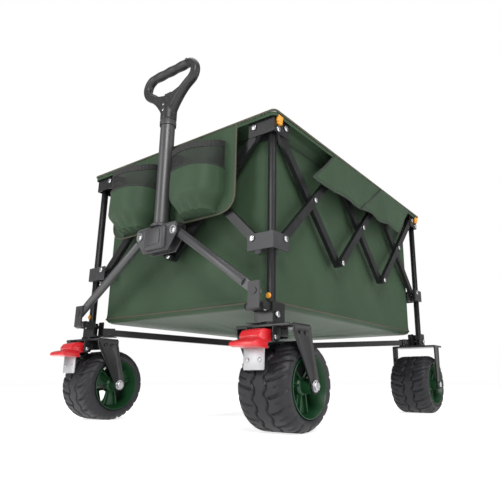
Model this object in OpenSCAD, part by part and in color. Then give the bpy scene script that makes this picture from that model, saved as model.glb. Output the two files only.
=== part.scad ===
// Folding beach cart: a fabric tub in a scissor frame on wide wheels.
// X runs along the cart with the handle end at -X, Y across it, Z up from the floor.
// Every corner is drawn once, with +X and +Y pointing into the cart, and mirrored to its place.

/* [Frame] */
// Width of one scissor cell at rest, pivot to pivot
cell = 232; // [190:1:250]
// Length of a scissor link, pivot to pivot
link_len = 327; // [300:1:380]
// Distance from a post to the first link pivot, on the long sides
reach_x = 26; // [24:1:40]
// Distance from a post to the first link pivot, on the short sides
reach_y = 36; // [30:1:46]
// Height of the upper link pivots
top_z = 578; // [540:1:640]
// Width of a link bar
link_w = 18; // [14:1:20]
// Thickness of a link bar
link_t = 10; // [6:0.5:10.5]
// Radius of a corner post
post_r = 8; // [6:0.5:9]
// Wall of the tubes
tube_wall = 1.6; // [1:0.1:3]
// Thickness of the bracket plates
plate = 2; // [1.5:0.5:3]
// Radius of the frame rivets
pin_r = 3; // [2:0.5:4]
// Running clearance of the rivets and tubes
gap = 0.3; // [0.1:0.05:0.6]

/* [Wheels] */
// Radius of a wheel
wheel_r = 79; // [70:1:84]
// Width of a wheel
wheel_w = 108; // [80:1:112]
// Depth of a tyre over its rim
tyre_deep = 29; // [24:1:32]
// How far a front tyre reaches ahead of its swivel
tyre_lead = 34; // [28:1:36]
// How far a rear axle sits inside its post
rear_inset = 34; // [20:1:40]
// Radius of the axles
axle_r = 5; // [4:0.5:6]
// Clearance between a wheel and the bridge of its fork
wheel_room = 20; // [18:1:32]

/* [Floor frame] */
// Height of the floor arm pivots above the underside of the corner brackets
arm_rise = 11; // [9:1:18]
// Width of a floor arm
arm_w = 14; // [10:1:16]
// Depth of a floor arm
arm_h = 15; // [12:1:16]
// Slope of the floor arms down to the centre, in degrees
arm_dip = 3; // [0:0.5:5]
// Radius of the arm pivots about the floor hub
hub_reach = 80; // [76:1:94]

/* [Tub] */
// Thickness of the fabric walls
cloth = 3; // [2:0.5:4]
// Height of the underside of the tub above that of the corner brackets
tub_rise = 34; // [26:1:52]
// Height of the rim of the tub above the upper link pivots
rim_rise = 22; // [19:1:40]
// Width of a cup pocket
cup_w = 140; // [100:1:150]
// How far a cup pocket stands out
cup_d = 58; // [40:1:70]
// Height of a cup pocket
cup_h = 150; // [110:1:160]

/* [Handle] */
// Radius of the outer handle tube
outer_r = 16; // [12:0.5:16]
// Height of the strut rivets on the handle hub
yoke_z = 389; // [370:1:400]
// Half the spacing of the strut rivets on the handle hub
yoke_y = 52; // [44:1:60]
// Height of the strut rivets above the underside of the corner brackets
strut_lift = 53; // [48:1:62]
// Radius of a strut
strut_r = 9; // [7:0.5:10]
// Width of the grip
grip_w = 182; // [140:1:200]
// Height of the top of the grip
grip_z = 800; // [760:1:840]

/* [Display] */
// Sub-part to build

/* [Hidden] */
$fn = 64;
post_x = 1.5 * cell + reach_x;
post_y = cell + reach_y;
rise = sqrt(link_len * link_len - cell * cell);
low_z = top_z - rise;
link_tilt = asin(rise / link_len);
wall_in = link_t + 1;
wall_out = wall_in + plate;
head_t = 2;
rim_r = wheel_r - tyre_deep;
trail = wheel_r - tyre_lead;
foot_z = 2 * wheel_r + wheel_room + 10;
arm_z = foot_z + arm_rise;
tub_z = foot_z + tub_rise;
rim_z = top_z + rim_rise;
strut_z = foot_z + strut_lift;
handle_out = wall_out + cloth + outer_r + 4;
// Half the difference of the two overhangs, so that the part is centred on X
shift_x = 18.5;
bore_r = pin_r + gap;
arm_turn = atan2(cell, 1.5 * cell);
arm_span = norm([cell, 1.5 * cell]) - hub_reach;
arm_len = arm_span / cos(arm_dip);
hub_z = arm_z - arm_len * sin(arm_dip);
ear_in = arm_w / 2 + 0.6;
hinge_x = handle_out - 3;
hinge_z = foot_z + 27;
strut_y = 6;
tab_t = 7.4;
plate_x = handle_out + tab_t / 2 + gap;
strut_run = post_y - strut_y - yoke_y;
strut_rise = yoke_z - strut_z;
strut_len = norm([strut_run, strut_rise]);
strut_tilt = atan2(strut_rise, strut_run);
leg_in = wheel_w / 2 + 6;
leg_t = 4;
leg_out = leg_in + leg_t;
bridge_z = foot_z - 10;
pedal_x = 26;
pedal_z = foot_z - 28;
yoke_x = -post_x - handle_out;
grip_r = 12;
grip_arc = 25;
grip_side = grip_w / 2 - grip_arc - grip_r;
grip_mid = grip_z - grip_r - grip_arc;
button_top = 728;

steel = [0.16, 0.16, 0.17];
grey = [0.32, 0.32, 0.33];
green = [0.13, 0.25, 0.17];
rubber = [0.05, 0.05, 0.05];
red = [0.75, 0.08, 0.08];
plastic = [0.12, 0.12, 0.13];

// A block given by two opposite corners
module block(a, b) {
    translate(a)
        cube([b[0] - a[0], b[1] - a[1], b[2] - a[2]]);
}

// A rod along X, Y or Z, from one coordinate to the other
module rod_x(r, x0, x1, y, z) {
    translate([x0, y, z])
        rotate([0, 90, 0])
            cylinder(r = r, h = x1 - x0);
}

module rod_y(r, y0, y1, x, z) {
    translate([x, y1, z])
        rotate([90, 0, 0])
            cylinder(r = r, h = y1 - y0);
}

module rod_z(r, z0, z1, x, y) {
    translate([x, y, z0])
        cylinder(r = r, h = z1 - z0);
}

// Moves a corner's drawing to its corner: sx is -1 at the front, sy is -1 on the right
module corner(sx, sy) {
    translate([sx * post_x + shift_x, sy * post_y, 0])
        mirror([sx > 0 ? 1 : 0, 0, 0])
            mirror([0, sy > 0 ? 1 : 0, 0])
                children();
}

// Outline of the channel that a bracket or a collar folds round two sides of a post
module channel(end_x, end_y) {
    difference() {
        union() {
            translate([-wall_out, -wall_out])
                square([end_x + wall_out, 2 * wall_out]);
            translate([-wall_out, -wall_out])
                square([2 * wall_out, end_y + wall_out]);
        }
        union() {
            translate([-wall_in, -wall_in])
                square([end_x + wall_in + 1, 2 * wall_in]);
            translate([-wall_in, -wall_in])
                square([2 * wall_in, end_y + wall_in + 1]);
        }
    }
}

// A rivet with a head outside each wall of a channel
module rivet_y(x, z) {
    rod_y(pin_r, -wall_out - head_t, wall_out + head_t, x, z);
    rod_y(2 * pin_r, -wall_out - head_t, -wall_out, x, z);
    rod_y(2 * pin_r, wall_out, wall_out + head_t, x, z);
}

module rivet_x(y, z) {
    rod_x(pin_r, -wall_out - head_t, wall_out + head_t, y, z);
    rod_x(2 * pin_r, -wall_out - head_t, -wall_out, y, z);
    rod_x(2 * pin_r, wall_out, wall_out + head_t, y, z);
}

// Post with its top bracket, foot bracket and rivets; the front ones carry the handle hinge
module post(front) {
    top_lo = top_z - 20;
    top_hi = top_z + 14;
    foot_hi = foot_z + 36;
    difference() {
        rod_z(post_r, foot_z, top_hi, 0, 0);
        rod_z(post_r - tube_wall, foot_z + 4, top_hi - 1, 0, 0);
    }
    translate([0, 0, top_lo])
        linear_extrude(top_hi - top_lo)
            channel(reach_x + 14, reach_y + 14);
    block([-wall_out, -wall_out, top_hi], [reach_x + 14, wall_out, top_hi + plate]);
    block([-wall_out, -wall_out, top_hi], [wall_out, reach_y + 14, top_hi + plate]);
    rivet_y(reach_x, top_z);
    rivet_x(reach_y, top_z);
    rivet_y(0, top_lo + 8);
    rivet_x(0, foot_z + 26);
    // Release tab on the long side of the top bracket
    block([-6, -wall_out - 6, top_z + 2], [8, -wall_out, top_hi]);
    translate([0, 0, foot_z + plate])
        linear_extrude(foot_hi - foot_z - plate)
            channel(24, 28);
    block([-wall_out, -wall_out, foot_z], [38, 47, foot_z + plate]);
    rivet_y(0, foot_z + 14);
    // Ears and rivet of the floor arm, turned towards the middle of the floor
    translate([reach_x, reach_y, 0])
        rotate([0, 0, arm_turn]) {
            for (side = [-1, 1]) {
                ear_y = side > 0 ? ear_in : -ear_in - plate;
                block([-16, ear_y, foot_z], [11, ear_y + plate, arm_z + 10]);
            }
            rod_y(pin_r, -ear_in - plate - head_t, ear_in + plate + head_t, 0, arm_z);
            rod_y(2 * pin_r, -ear_in - plate - head_t, -ear_in - plate, 0, arm_z);
            rod_y(2 * pin_r, ear_in + plate, ear_in + plate + head_t, 0, arm_z);
        }
    if (front) {
        // Swivel cup and the fixed lugs of the handle hinge
        difference() {
            rod_z(20, foot_z - 4, foot_z, 0, 0);
            rod_z(axle_r + gap, foot_z - 5, foot_z - 0.5, 0, 0);
        }
        for (y = [-9, 26]) {
            block([-hinge_x, y, hinge_z - 7], [-wall_out + 0.5, y + 3, hinge_z + 7]);
            rod_y(7, y, y + 3, -hinge_x, hinge_z);
        }
        rod_y(pin_r, -11, 31, -hinge_x, hinge_z);
        rod_y(5, -11, -9, -hinge_x, hinge_z);
        rod_y(5, 29, 31, -hinge_x, hinge_z);
    }
}

// Collar that slides on a post and carries the lower link ends of two sides
module collar() {
    translate([0, 0, low_z - 24])
        linear_extrude(32) {
            channel(reach_x + 12, reach_y + 12);
            difference() {
                circle(r = wall_in + 1);
                circle(r = post_r + gap);
            }
        }
    rivet_y(reach_x, low_z);
    rivet_x(reach_y, low_z);
}

// One leg of a wheel fork, as a plate between two heights
module leg(y, x_top, x_axle, half_top, half_low) {
    translate([0, y + leg_t, 0])
        rotate([90, 0, 0])
            linear_extrude(leg_t)
                union() {
                    translate([x_axle, wheel_r])
                        circle(r = half_low);
                    polygon([
                        [x_top - half_top, bridge_z + 2],
                        [x_top + half_top, bridge_z + 2],
                        [x_axle + half_low, wheel_r],
                        [x_axle - half_low, wheel_r]
                    ]);
                }
}

// Axle with its bolt heads outside the fork
module axle(x) {
    rod_y(axle_r, -leg_out, leg_out, x, wheel_r);
    rod_y(9, -leg_out - 5, -leg_out, x, wheel_r);
    rod_y(9, leg_out, leg_out + 5, x, wheel_r);
}

// Swivelling front fork with the brake pedal's pivot
module caster() {
    rod_z(axle_r, bridge_z, foot_z - 1, 0, 0);
    rod_z(16, bridge_z, foot_z - 4 - gap, 0, 0);
    block([-24, -leg_out, bridge_z], [32, leg_out, bridge_z + 5]);
    for (y = [-leg_out, leg_in])
        leg(y, 12, trail, 18, 14);
    axle(trail);
    for (y = [-30, 27])
        block([-pedal_x - 6, y, pedal_z - 6], [-14, y + 3, bridge_z + 1]);
    rod_y(pin_r, -32, 32, -pedal_x, pedal_z);
}

// Fixed rear fork
module rear_fork() {
    block([-wall_out, -leg_out, foot_z - 5], [rear_inset + 16, leg_out, foot_z]);
    for (y = [-leg_out, leg_in])
        block([rear_inset - 14, y, wheel_r], [rear_inset + 14, y + leg_t, foot_z - 2]);
    for (y = [-leg_out, leg_in])
        rod_y(14, y, y + leg_t, rear_inset, wheel_r);
    axle(rear_inset);
}

// Tyre with sloping shoulders
module tyre(x) {
    half = wheel_w / 2;
    translate([x, 0, wheel_r])
        rotate([90, 0, 0])
            rotate_extrude($fn = 96)
                polygon([
                    [rim_r, -half + 4], [rim_r + 6, -half], [wheel_r - 12, -half],
                    [wheel_r - 3, -half + 12], [wheel_r, -half + 26], [wheel_r, half - 26],
                    [wheel_r - 3, half - 12], [wheel_r - 12, half], [rim_r + 6, half],
                    [rim_r, half - 4]
                ]);
}

// Rim: a drum on a hub, joined by a web with round windows near its outer side
module rim(x) {
    half = wheel_w / 2;
    translate([x, 0, wheel_r])
        rotate([90, 0, 0])
            difference() {
                union() {
                    difference() {
                        translate([0, 0, -half + 4])
                            cylinder(r = rim_r, h = wheel_w - 8, $fn = 96);
                        translate([0, 0, -half + 3])
                            cylinder(r = rim_r - 4, h = wheel_w - 6, $fn = 96);
                    }
                    translate([0, 0, half - 22])
                        cylinder(r = rim_r - 2, h = 6);
                    translate([0, 0, -half + 16])
                        cylinder(r = rim_r - 2, h = 6);
                    translate([0, 0, -leg_in + gap])
                        cylinder(r = 13, h = 2 * leg_in - 2 * gap);
                }
                translate([0, 0, -leg_in - 1])
                    cylinder(r = axle_r + gap, h = 2 * leg_in + 2);
                for (a = [0:60:300])
                    rotate([0, 0, a])
                        translate([0.6 * rim_r, 0, -half])
                            cylinder(r = 0.2 * rim_r, h = wheel_w, $fn = 32);
            }
}

// Foot pedal with the plate that it presses on the tread
module pedal() {
    difference() {
        union() {
            translate([0, 24, foot_z])
                rotate([90, 0, 0])
                    linear_extrude(48)
                        polygon([
                            [-19, -18], [-40, -13], [-81, -11], [-82, -22],
                            [-66, -30], [-62, -42], [-34, -46], [-19, -36]
                        ]);
            block([-tyre_lead - 14.5, -22, foot_z - 84], [-tyre_lead - 11.5, 22, foot_z - 42]);
        }
        rod_y(bore_r, -26, 26, -pedal_x, pedal_z);
    }
}

// One scissor link from its upper pivot; ends and middle get a pin or a hole
module bar(pins) {
    difference() {
        union() {
            translate([0, -link_w / 2, 0])
                cube([link_len, link_w, link_t]);
            for (x = [0, link_len])
                translate([x, 0, 0])
                    cylinder(r = link_w / 2, h = link_t);
        }
        for (i = [0:2])
            if (pins[i] == 0)
                translate([i * link_len / 2, 0, -1])
                    cylinder(r = bore_r, h = link_t + 2);
    }
    for (i = [0:2])
        if (pins[i] == 1)
            translate([i * link_len / 2, 0, -link_t - 2 * gap - head_t]) {
                cylinder(r = pin_r, h = 2 * link_t + 2 * gap + 2 * head_t);
                cylinder(r = 2 * pin_r, h = head_t - gap);
                translate([0, 0, 2 * link_t + 2 * gap + head_t])
                    cylinder(r = 2 * pin_r, h = head_t - gap);
            }
}

// A side of the frame, seen from outside with its first post at the origin.
// A "down" link starts at a top pivot in the inner layer, an "up" link ends at one in the outer layer.
module down_link(reach, i, pins) {
    translate([reach + i * cell, gap, top_z])
        rotate([-90, 0, 0])
            rotate([0, 0, link_tilt])
                bar(pins);
}

module up_link(reach, i, pins) {
    translate([reach + i * cell, -gap, low_z])
        rotate([90, 0, 0])
            rotate([0, 0, link_tilt])
                bar(pins);
}

// Places a side: the long ones start at a front post, the short ones at a right post
module long_side(sy) {
    translate([-post_x + shift_x, sy * post_y, 0])
        mirror([0, sy > 0 ? 1 : 0, 0])
            children();
}

module short_side(sx) {
    translate([sx * post_x + shift_x, -post_y, 0])
        mirror([sx > 0 ? 1 : 0, 0, 0])
            rotate([0, 0, 90])
                mirror([0, 1, 0])
                    children();
}

// Floor arm from its corner pivot to the floor hub
module arm() {
    translate([reach_x, reach_y, arm_z])
        rotate([0, 0, arm_turn])
            rotate([0, arm_dip, 0])
                difference() {
                    union() {
                        translate([0, -arm_w / 2, -arm_h / 2])
                            cube([arm_len, arm_w, arm_h]);
                        for (x = [0, arm_len])
                            rod_y(arm_h / 2, -arm_w / 2, arm_w / 2, x, 0);
                    }
                    rod_y(bore_r, -arm_w, arm_w, 0, 0);
                    rod_y(bore_r, -arm_w, arm_w, arm_len, 0);
                }
}

// Hub under the middle of the floor: a disc with an upright lug beside the end of each arm
module floor_hub() {
    base_z = hub_z - 13;
    translate([shift_x, 0, 0]) {
        rod_z(40, base_z - 4, base_z, 0, 0);
        rod_z(14, base_z, base_z + 8, 0, 0);
        for (sx = [-1, 1])
            for (sy = [-1, 1])
                mirror([sx < 0 ? 1 : 0, 0, 0])
                    mirror([0, sy < 0 ? 1 : 0, 0])
                        rotate([0, 0, arm_turn]) {
                            lug_y = sy < 0 ? ear_in : -ear_in - plate;
                            head_y = sy < 0 ? ear_in + plate : -ear_in - plate - head_t;
                            block([24, lug_y, base_z - 4], [hub_reach + 9, lug_y + plate, base_z + 4]);
                            block([hub_reach - 12, lug_y, base_z - 4], [hub_reach + 9, lug_y + plate, hub_z + 9]);
                            rod_y(2 * pin_r, head_y, head_y + head_t, hub_reach, hub_z);
                        }
    }
}

// Open tub of fabric with a flat rim that lies over the top brackets
module tub() {
    in_x = post_x - wall_out - head_t - 0.5;
    in_y = post_y - wall_out - head_t - 0.5;
    out_x = post_x + wall_out + 3;
    out_y = post_y + wall_out + 3;
    rim_lo = top_z + 14 + plate + gap;
    translate([shift_x, 0, 0])
        difference() {
            union() {
                block([-in_x, -in_y, tub_z], [in_x, in_y, rim_z]);
                block([-out_x, -out_y, rim_lo], [out_x, out_y, rim_z]);
            }
            block([-in_x + cloth, -in_y + cloth, tub_z + cloth], [in_x - cloth, in_y - cloth, rim_z + 1]);
        }
}

// Panel on the front of the tub with two cup pockets
module cup_pockets() {
    face = -post_x - wall_out - 3.5 + shift_x;
    cup_z = rim_z - 184;
    inner = outer_r + 6;
    round_r = 14;
    module cup_shape(grow, z0, z1) {
        translate([face, 0, z0])
            linear_extrude(z1 - z0)
                union() {
                    translate([-cup_d + round_r, inner - grow])
                        square([cup_d - round_r, cup_w + 2 * grow]);
                    for (y = [inner + round_r, inner + cup_w - round_r])
                        translate([-cup_d + round_r, y])
                            circle(r = round_r + grow);
                    translate([-cup_d - grow, inner + round_r])
                        square([2 * round_r, cup_w - 2 * round_r]);
                }
    }
    block([face - cloth, -190, cup_z - 5], [face, 190, rim_z]);
    for (sy = [0, 1])
        mirror([0, sy, 0])
            difference() {
                cup_shape(0, cup_z, cup_z + cup_h);
                cup_shape(-cloth, cup_z + cloth, cup_z + cup_h + 1);
                block([face - 1, -10, 0], [face + 60, 300, 900]);
            }
}

// Fabric flap that hangs over the upper pivots of a long side
module side_flap() {
    y = -wall_out - 3.5;
    translate([0, y, 0])
        rotate([90, 0, 0])
            linear_extrude(cloth)
                polygon([
                    [0.94 * cell, rim_z], [2.94 * cell, rim_z],
                    [2.5 * cell, rim_z - 98], [0.5 * cell, rim_z - 98]
                ]);
}

// Plate that hinges the handle frame on a front corner
module foot_plate(pinned) {
    difference() {
        union() {
            block([-plate_x - 3, -5.7, hinge_z - 5], [-plate_x, 20, strut_z + 17]);
            rod_y(8, -5.7, 25.7, -hinge_x, hinge_z);
        }
        rod_y(bore_r, -10, 30, -hinge_x, hinge_z);
    }
    rod_x(6, -plate_x - 3 - head_t, -plate_x - 3, strut_y, strut_z);
    if (pinned)
        rod_x(pin_r, -plate_x - 3, -plate_x + tab_t + 3, strut_y, strut_z);
}

// Strut from a foot plate to the handle hub
module strut() {
    flat = 32;
    translate([-handle_out, strut_y, strut_z])
        rotate([strut_tilt, 0, 0])
            difference() {
                union() {
                    for (y = [0, strut_len])
                        rod_x(strut_r, -tab_t / 2, tab_t / 2, y, 0);
                    block([-tab_t / 2, 0, -strut_r], [tab_t / 2, strut_len, strut_r]);
                    rod_y(strut_r, flat, strut_len - 16, 0, 0);
                }
                rod_y(strut_r - tube_wall, flat + 3, strut_len - 19, 0, 0);
                for (y = [0, strut_len])
                    rod_x(bore_r, -strut_r, strut_r, y, 0);
            }
}

// Housing that joins both struts to the handle tube
module handle_hub() {
    translate([yoke_x + shift_x, 0, 0]) {
        difference() {
            union() {
                for (x = [-12.5, 10])
                    translate([x, 0, 0])
                        rotate([90, 0, 90])
                            linear_extrude(2.5)
                                polygon([
                                    [-63, yoke_z + 18], [63, yoke_z + 18], [63, yoke_z - 6],
                                    [38, yoke_z - 41], [-38, yoke_z - 41], [-63, yoke_z - 6]
                                ]);
                block([-12, -63, yoke_z + 10], [12, 63, yoke_z + 18]);
                block([-outer_r - 4, -33, yoke_z - 37], [outer_r + 2, 33, yoke_z + 16]);
            }
            rod_z(outer_r + 0.05, yoke_z - 23, yoke_z + 20, 0, 0);
        }
        for (sy = [-1, 1]) {
            rod_x(pin_r, -14.5, 14.5, sy * yoke_y, yoke_z);
            rod_x(2 * pin_r, -14.5, -12.5, sy * yoke_y, yoke_z);
        }
    }
}

module handle_outer_tube() {
    translate([yoke_x + shift_x, 0, 0])
        difference() {
            union() {
                rod_z(outer_r, yoke_z - 23, 646, 0, 0);
                rod_z(outer_r + 2, 644, 656, 0, 0);
            }
            rod_z(outer_r - 1.8, yoke_z - 20, 645, 0, 0);
            rod_z(outer_r - 3 + gap, 640, 660, 0, 0);
        }
}

module handle_inner_tube() {
    translate([yoke_x + shift_x, 0, 0])
        difference() {
            union() {
                rod_z(outer_r - 3, 400, 700, 0, 0);
                rod_z(outer_r - 2, 400, 414, 0, 0);
            }
            rod_z(outer_r - 3 - tube_wall, 399, 701, 0, 0);
        }
}

// D-shaped grip: a closed loop of rods with a ball at each bend, on a stem
module handle_grip() {
    bends = [90, 55, 20, -20, -60];
    arm_y = grip_side + grip_arc * cos(60);
    arm_top = grip_mid - grip_arc * sin(60);
    translate([yoke_x + shift_x, 0, 0])
        difference() {
            union() {
                rod_y(grip_r, -grip_side, grip_side, 0, grip_mid + grip_arc);
                for (side = [0, 1])
                    mirror([0, side, 0]) {
                        for (i = [0:4])
                            translate([0, grip_side + grip_arc * cos(bends[i]), grip_mid + grip_arc * sin(bends[i])])
                                sphere(r = grip_r + 0.6);
                        for (i = [0:3])
                            translate([0, grip_side + grip_arc * cos(bends[i]), grip_mid + grip_arc * sin(bends[i])])
                                rotate([180 + (bends[i] + bends[i + 1]) / 2, 0, 0])
                                    cylinder(r = grip_r, h = 2 * grip_arc * sin((bends[i] - bends[i + 1]) / 2));
                        translate([0, arm_y, arm_top])
                            rotate([120, 0, 0])
                                cylinder(r = grip_r, h = (arm_y - 10) / sin(60));
                    }
                rod_z(outer_r + 2, 656 + gap, 720, 0, 0);
            }
            rod_z(outer_r - 3, 650, 700, 0, 0);
            block([-8 - gap, -11 - gap, 706], [8 + gap, 11 + gap, 760]);
        }
}

module grip_button() {
    translate([yoke_x + shift_x, 0, 0])
        block([-8, -11, 712], [8, 11, button_top]);
}

module post_front_right() { color(steel) corner(-1, -1) post(true); }
module post_front_left() { color(steel) corner(-1, 1) post(true); }
module post_rear_right() { color(steel) corner(1, -1) post(false); }
module post_rear_left() { color(steel) corner(1, 1) post(false); }
module caster_front_right() { color(steel) corner(-1, -1) caster(); }
module caster_front_left() { color(steel) corner(-1, 1) caster(); }
module fork_rear_right() { color(steel) corner(1, -1) rear_fork(); }
module fork_rear_left() { color(steel) corner(1, 1) rear_fork(); }
module tyre_front_right() { color(rubber) corner(-1, -1) tyre(trail); }
module tyre_front_left() { color(rubber) corner(-1, 1) tyre(trail); }
module tyre_rear_right() { color(rubber) corner(1, -1) tyre(rear_inset); }
module tyre_rear_left() { color(rubber) corner(1, 1) tyre(rear_inset); }
module rim_front_right() { color(green) corner(-1, -1) rim(trail); }
module rim_front_left() { color(green) corner(-1, 1) rim(trail); }
module rim_rear_right() { color(green) corner(1, -1) rim(rear_inset); }
module rim_rear_left() { color(green) corner(1, 1) rim(rear_inset); }
module pedal_front_right() { color(red) corner(-1, -1) pedal(); }
module pedal_front_left() { color(red) corner(-1, 1) pedal(); }
module side_right_down_1() { color(steel) long_side(-1) down_link(reach_x, 0, [0, 1, 0]); }
module side_right_down_2() { color(steel) long_side(-1) down_link(reach_x, 1, [0, 1, 0]); }
module side_right_down_3() { color(steel) long_side(-1) down_link(reach_x, 2, [0, 1, 0]); }
module side_right_up_1() { color(steel) long_side(-1) up_link(reach_x, 0, [0, 0, 1]); }
module side_right_up_2() { color(steel) long_side(-1) up_link(reach_x, 1, [1, 0, 1]); }
module side_right_up_3() { color(steel) long_side(-1) up_link(reach_x, 2, [1, 0, 0]); }
module side_left_down_1() { color(steel) long_side(1) down_link(reach_x, 0, [0, 1, 0]); }
module side_left_down_2() { color(steel) long_side(1) down_link(reach_x, 1, [0, 1, 0]); }
module side_left_down_3() { color(steel) long_side(1) down_link(reach_x, 2, [0, 1, 0]); }
module side_left_up_1() { color(steel) long_side(1) up_link(reach_x, 0, [0, 0, 1]); }
module side_left_up_2() { color(steel) long_side(1) up_link(reach_x, 1, [1, 0, 1]); }
module side_left_up_3() { color(steel) long_side(1) up_link(reach_x, 2, [1, 0, 0]); }
module front_down_1() { color(steel) short_side(-1) down_link(reach_y, 0, [0, 1, 0]); }
module front_down_2() { color(steel) short_side(-1) down_link(reach_y, 1, [0, 1, 0]); }
module front_up_1() { color(steel) short_side(-1) up_link(reach_y, 0, [0, 0, 1]); }
module front_up_2() { color(steel) short_side(-1) up_link(reach_y, 1, [1, 0, 0]); }
module rear_down_1() { color(steel) short_side(1) down_link(reach_y, 0, [0, 1, 0]); }
module rear_down_2() { color(steel) short_side(1) down_link(reach_y, 1, [0, 1, 0]); }
module rear_up_1() { color(steel) short_side(1) up_link(reach_y, 0, [0, 0, 1]); }
module rear_up_2() { color(steel) short_side(1) up_link(reach_y, 1, [1, 0, 0]); }
module collar_front_right() { color(grey) corner(-1, -1) collar(); }
module collar_front_left() { color(grey) corner(-1, 1) collar(); }
module collar_rear_right() { color(grey) corner(1, -1) collar(); }
module collar_rear_left() { color(grey) corner(1, 1) collar(); }
module arm_front_right() { color(steel) corner(-1, -1) arm(); }
module arm_front_left() { color(steel) corner(-1, 1) arm(); }
module arm_rear_right() { color(steel) corner(1, -1) arm(); }
module arm_rear_left() { color(steel) corner(1, 1) arm(); }
module side_flap_right() { color(green) long_side(-1) side_flap(); }
module side_flap_left() { color(green) long_side(1) side_flap(); }
module foot_plate_right() { color(grey) corner(-1, -1) foot_plate(true); }
module foot_plate_left() { color(grey) corner(-1, 1) foot_plate(false); }
module strut_right() { color(steel) corner(-1, -1) strut(); }
module strut_left() { color(steel) corner(-1, 1) strut(); }

post_front_right();
post_front_left();
post_rear_right();
post_rear_left();
caster_front_right();
caster_front_left();
fork_rear_right();
fork_rear_left();
tyre_front_right();
tyre_front_left();
tyre_rear_right();
tyre_rear_left();
rim_front_right();
rim_front_left();
rim_rear_right();
rim_rear_left();
pedal_front_right();
pedal_front_left();
side_right_down_1();
side_right_down_2();
side_right_down_3();
side_right_up_1();
side_right_up_2();
side_right_up_3();
side_left_down_1();
side_left_down_2();
side_left_down_3();
side_left_up_1();
side_left_up_2();
side_left_up_3();
front_down_1();
front_down_2();
front_up_1();
front_up_2();
rear_down_1();
rear_down_2();
rear_up_1();
rear_up_2();
collar_front_right();
collar_front_left();
collar_rear_right();
collar_rear_left();
arm_front_right();
arm_front_left();
arm_rear_right();
arm_rear_left();
color(steel) floor_hub();
color(green) tub();
color(green) cup_pockets();
side_flap_right();
side_flap_left();
foot_plate_right();
foot_plate_left();
strut_right();
strut_left();
color(plastic) handle_hub();
color(steel) handle_outer_tube();
color(grey) handle_inner_tube();
color(plastic) handle_grip();
color(grey) grip_button();
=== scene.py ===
"""Looks of a folding beach cart: cloth, wheels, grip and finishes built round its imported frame."""

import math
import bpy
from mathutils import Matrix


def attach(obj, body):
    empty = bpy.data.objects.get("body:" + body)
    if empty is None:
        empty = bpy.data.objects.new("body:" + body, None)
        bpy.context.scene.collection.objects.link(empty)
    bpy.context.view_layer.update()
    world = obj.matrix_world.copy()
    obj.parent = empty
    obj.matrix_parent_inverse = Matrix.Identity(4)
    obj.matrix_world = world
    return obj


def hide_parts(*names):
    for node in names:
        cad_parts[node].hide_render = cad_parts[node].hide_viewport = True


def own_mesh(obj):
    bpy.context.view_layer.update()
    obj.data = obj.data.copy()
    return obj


bl_info = {
    "name": "Beach cart looks",
    "version": (1, 0, 0),
    "blender": (4, 5, 0),
    "location": "3D View > Sidebar > Beach cart",
    "description": "Builds the cloth, wheels, grip and finishes of a folding beach cart round its frame",
    "category": "Object",
}

import bpy
from mathutils import Vector, noise

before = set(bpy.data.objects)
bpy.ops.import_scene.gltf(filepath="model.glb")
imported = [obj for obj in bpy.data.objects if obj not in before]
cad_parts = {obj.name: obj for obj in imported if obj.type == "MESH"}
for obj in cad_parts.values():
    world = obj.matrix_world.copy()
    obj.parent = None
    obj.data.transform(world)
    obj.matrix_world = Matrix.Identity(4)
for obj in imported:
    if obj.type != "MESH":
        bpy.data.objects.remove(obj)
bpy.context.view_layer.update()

# Places in the frame, in metres
FRONT_X, REAR_X, POST_Y = -0.3555, 0.3925, 0.268
MIDDLE_X = 0.0185
CELL, REACH_X, REACH_Y = 0.232, 0.026, 0.036
TOP_Z, LOW_Z = 0.578, 0.34755
KEEP_X, KEEP_Y = 0.3577, 0.4024
WHEEL_R, WHEEL_W, RIM_R = 0.079, 0.108, 0.050
FRONT_AXLE_X, REAR_AXLE_X = -0.3105, 0.3585
HANDLE_X = -0.3915
SIDES = (("right", -1), ("left", 1))
ENDS = (("front", FRONT_X, -1), ("rear", REAR_X, 1))


# ---------------------------------------------------------------- settings


def colour_setting(name, description, default):
    return bpy.props.FloatVectorProperty(name=name, description=description, subtype="COLOR", size=3,
                                         min=0, max=1, default=default)


def length_setting(name, description, low, high, default):
    return bpy.props.FloatProperty(name=name, description=description, unit="LENGTH", min=low, max=high,
                                   default=default)


class CartColours(bpy.types.PropertyGroup):
    cloth: colour_setting("Cloth", "Main colour of the coated cloth", (0.026, 0.047, 0.026))
    piping: colour_setting("Piping", "Colour of the piping on the rim and seams", (0.040, 0.040, 0.022))
    binding: colour_setting("Binding", "Colour of the tape, elastic and mesh", (0.010, 0.011, 0.010))
    steel: colour_setting("Frame", "Powder coat of posts, links and forks", (0.008, 0.008, 0.009))
    bracket: colour_setting("Brackets", "Powder coat of collars and hinge plates", (0.026, 0.026, 0.028))
    rubber: colour_setting("Tyres", "Colour of the tyres", (0.010, 0.010, 0.012))
    rim: colour_setting("Rims", "Colour of the rims", (0.006, 0.036, 0.012))
    pedal: colour_setting("Pedals", "Colour of the brake pedals", (0.50, 0.008, 0.014))
    clip: colour_setting("Clips", "Colour of the moulded clips on the corners", (0.62, 0.26, 0.02))


class CartSizes(bpy.types.PropertyGroup):
    cloth_thick: length_setting("Cloth thickness", "Thickness of the coated cloth", 0.0005, 0.003, 0.0014)
    crease: length_setting("Creases", "Depth of the soft creases in the walls", 0, 0.008, 0.0056)
    piping_r: length_setting("Piping radius", "Radius of the piping", 0.001, 0.004, 0.0024)
    tread: length_setting("Tread depth", "Depth of the grooves in the tyres", 0.001, 0.006, 0.0034)
    thread: length_setting("Thread pitch", "Distance between the threads of the cloth", 0.0003, 0.003, 0.0009)


# ---------------------------------------------------------------- modelling


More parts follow.
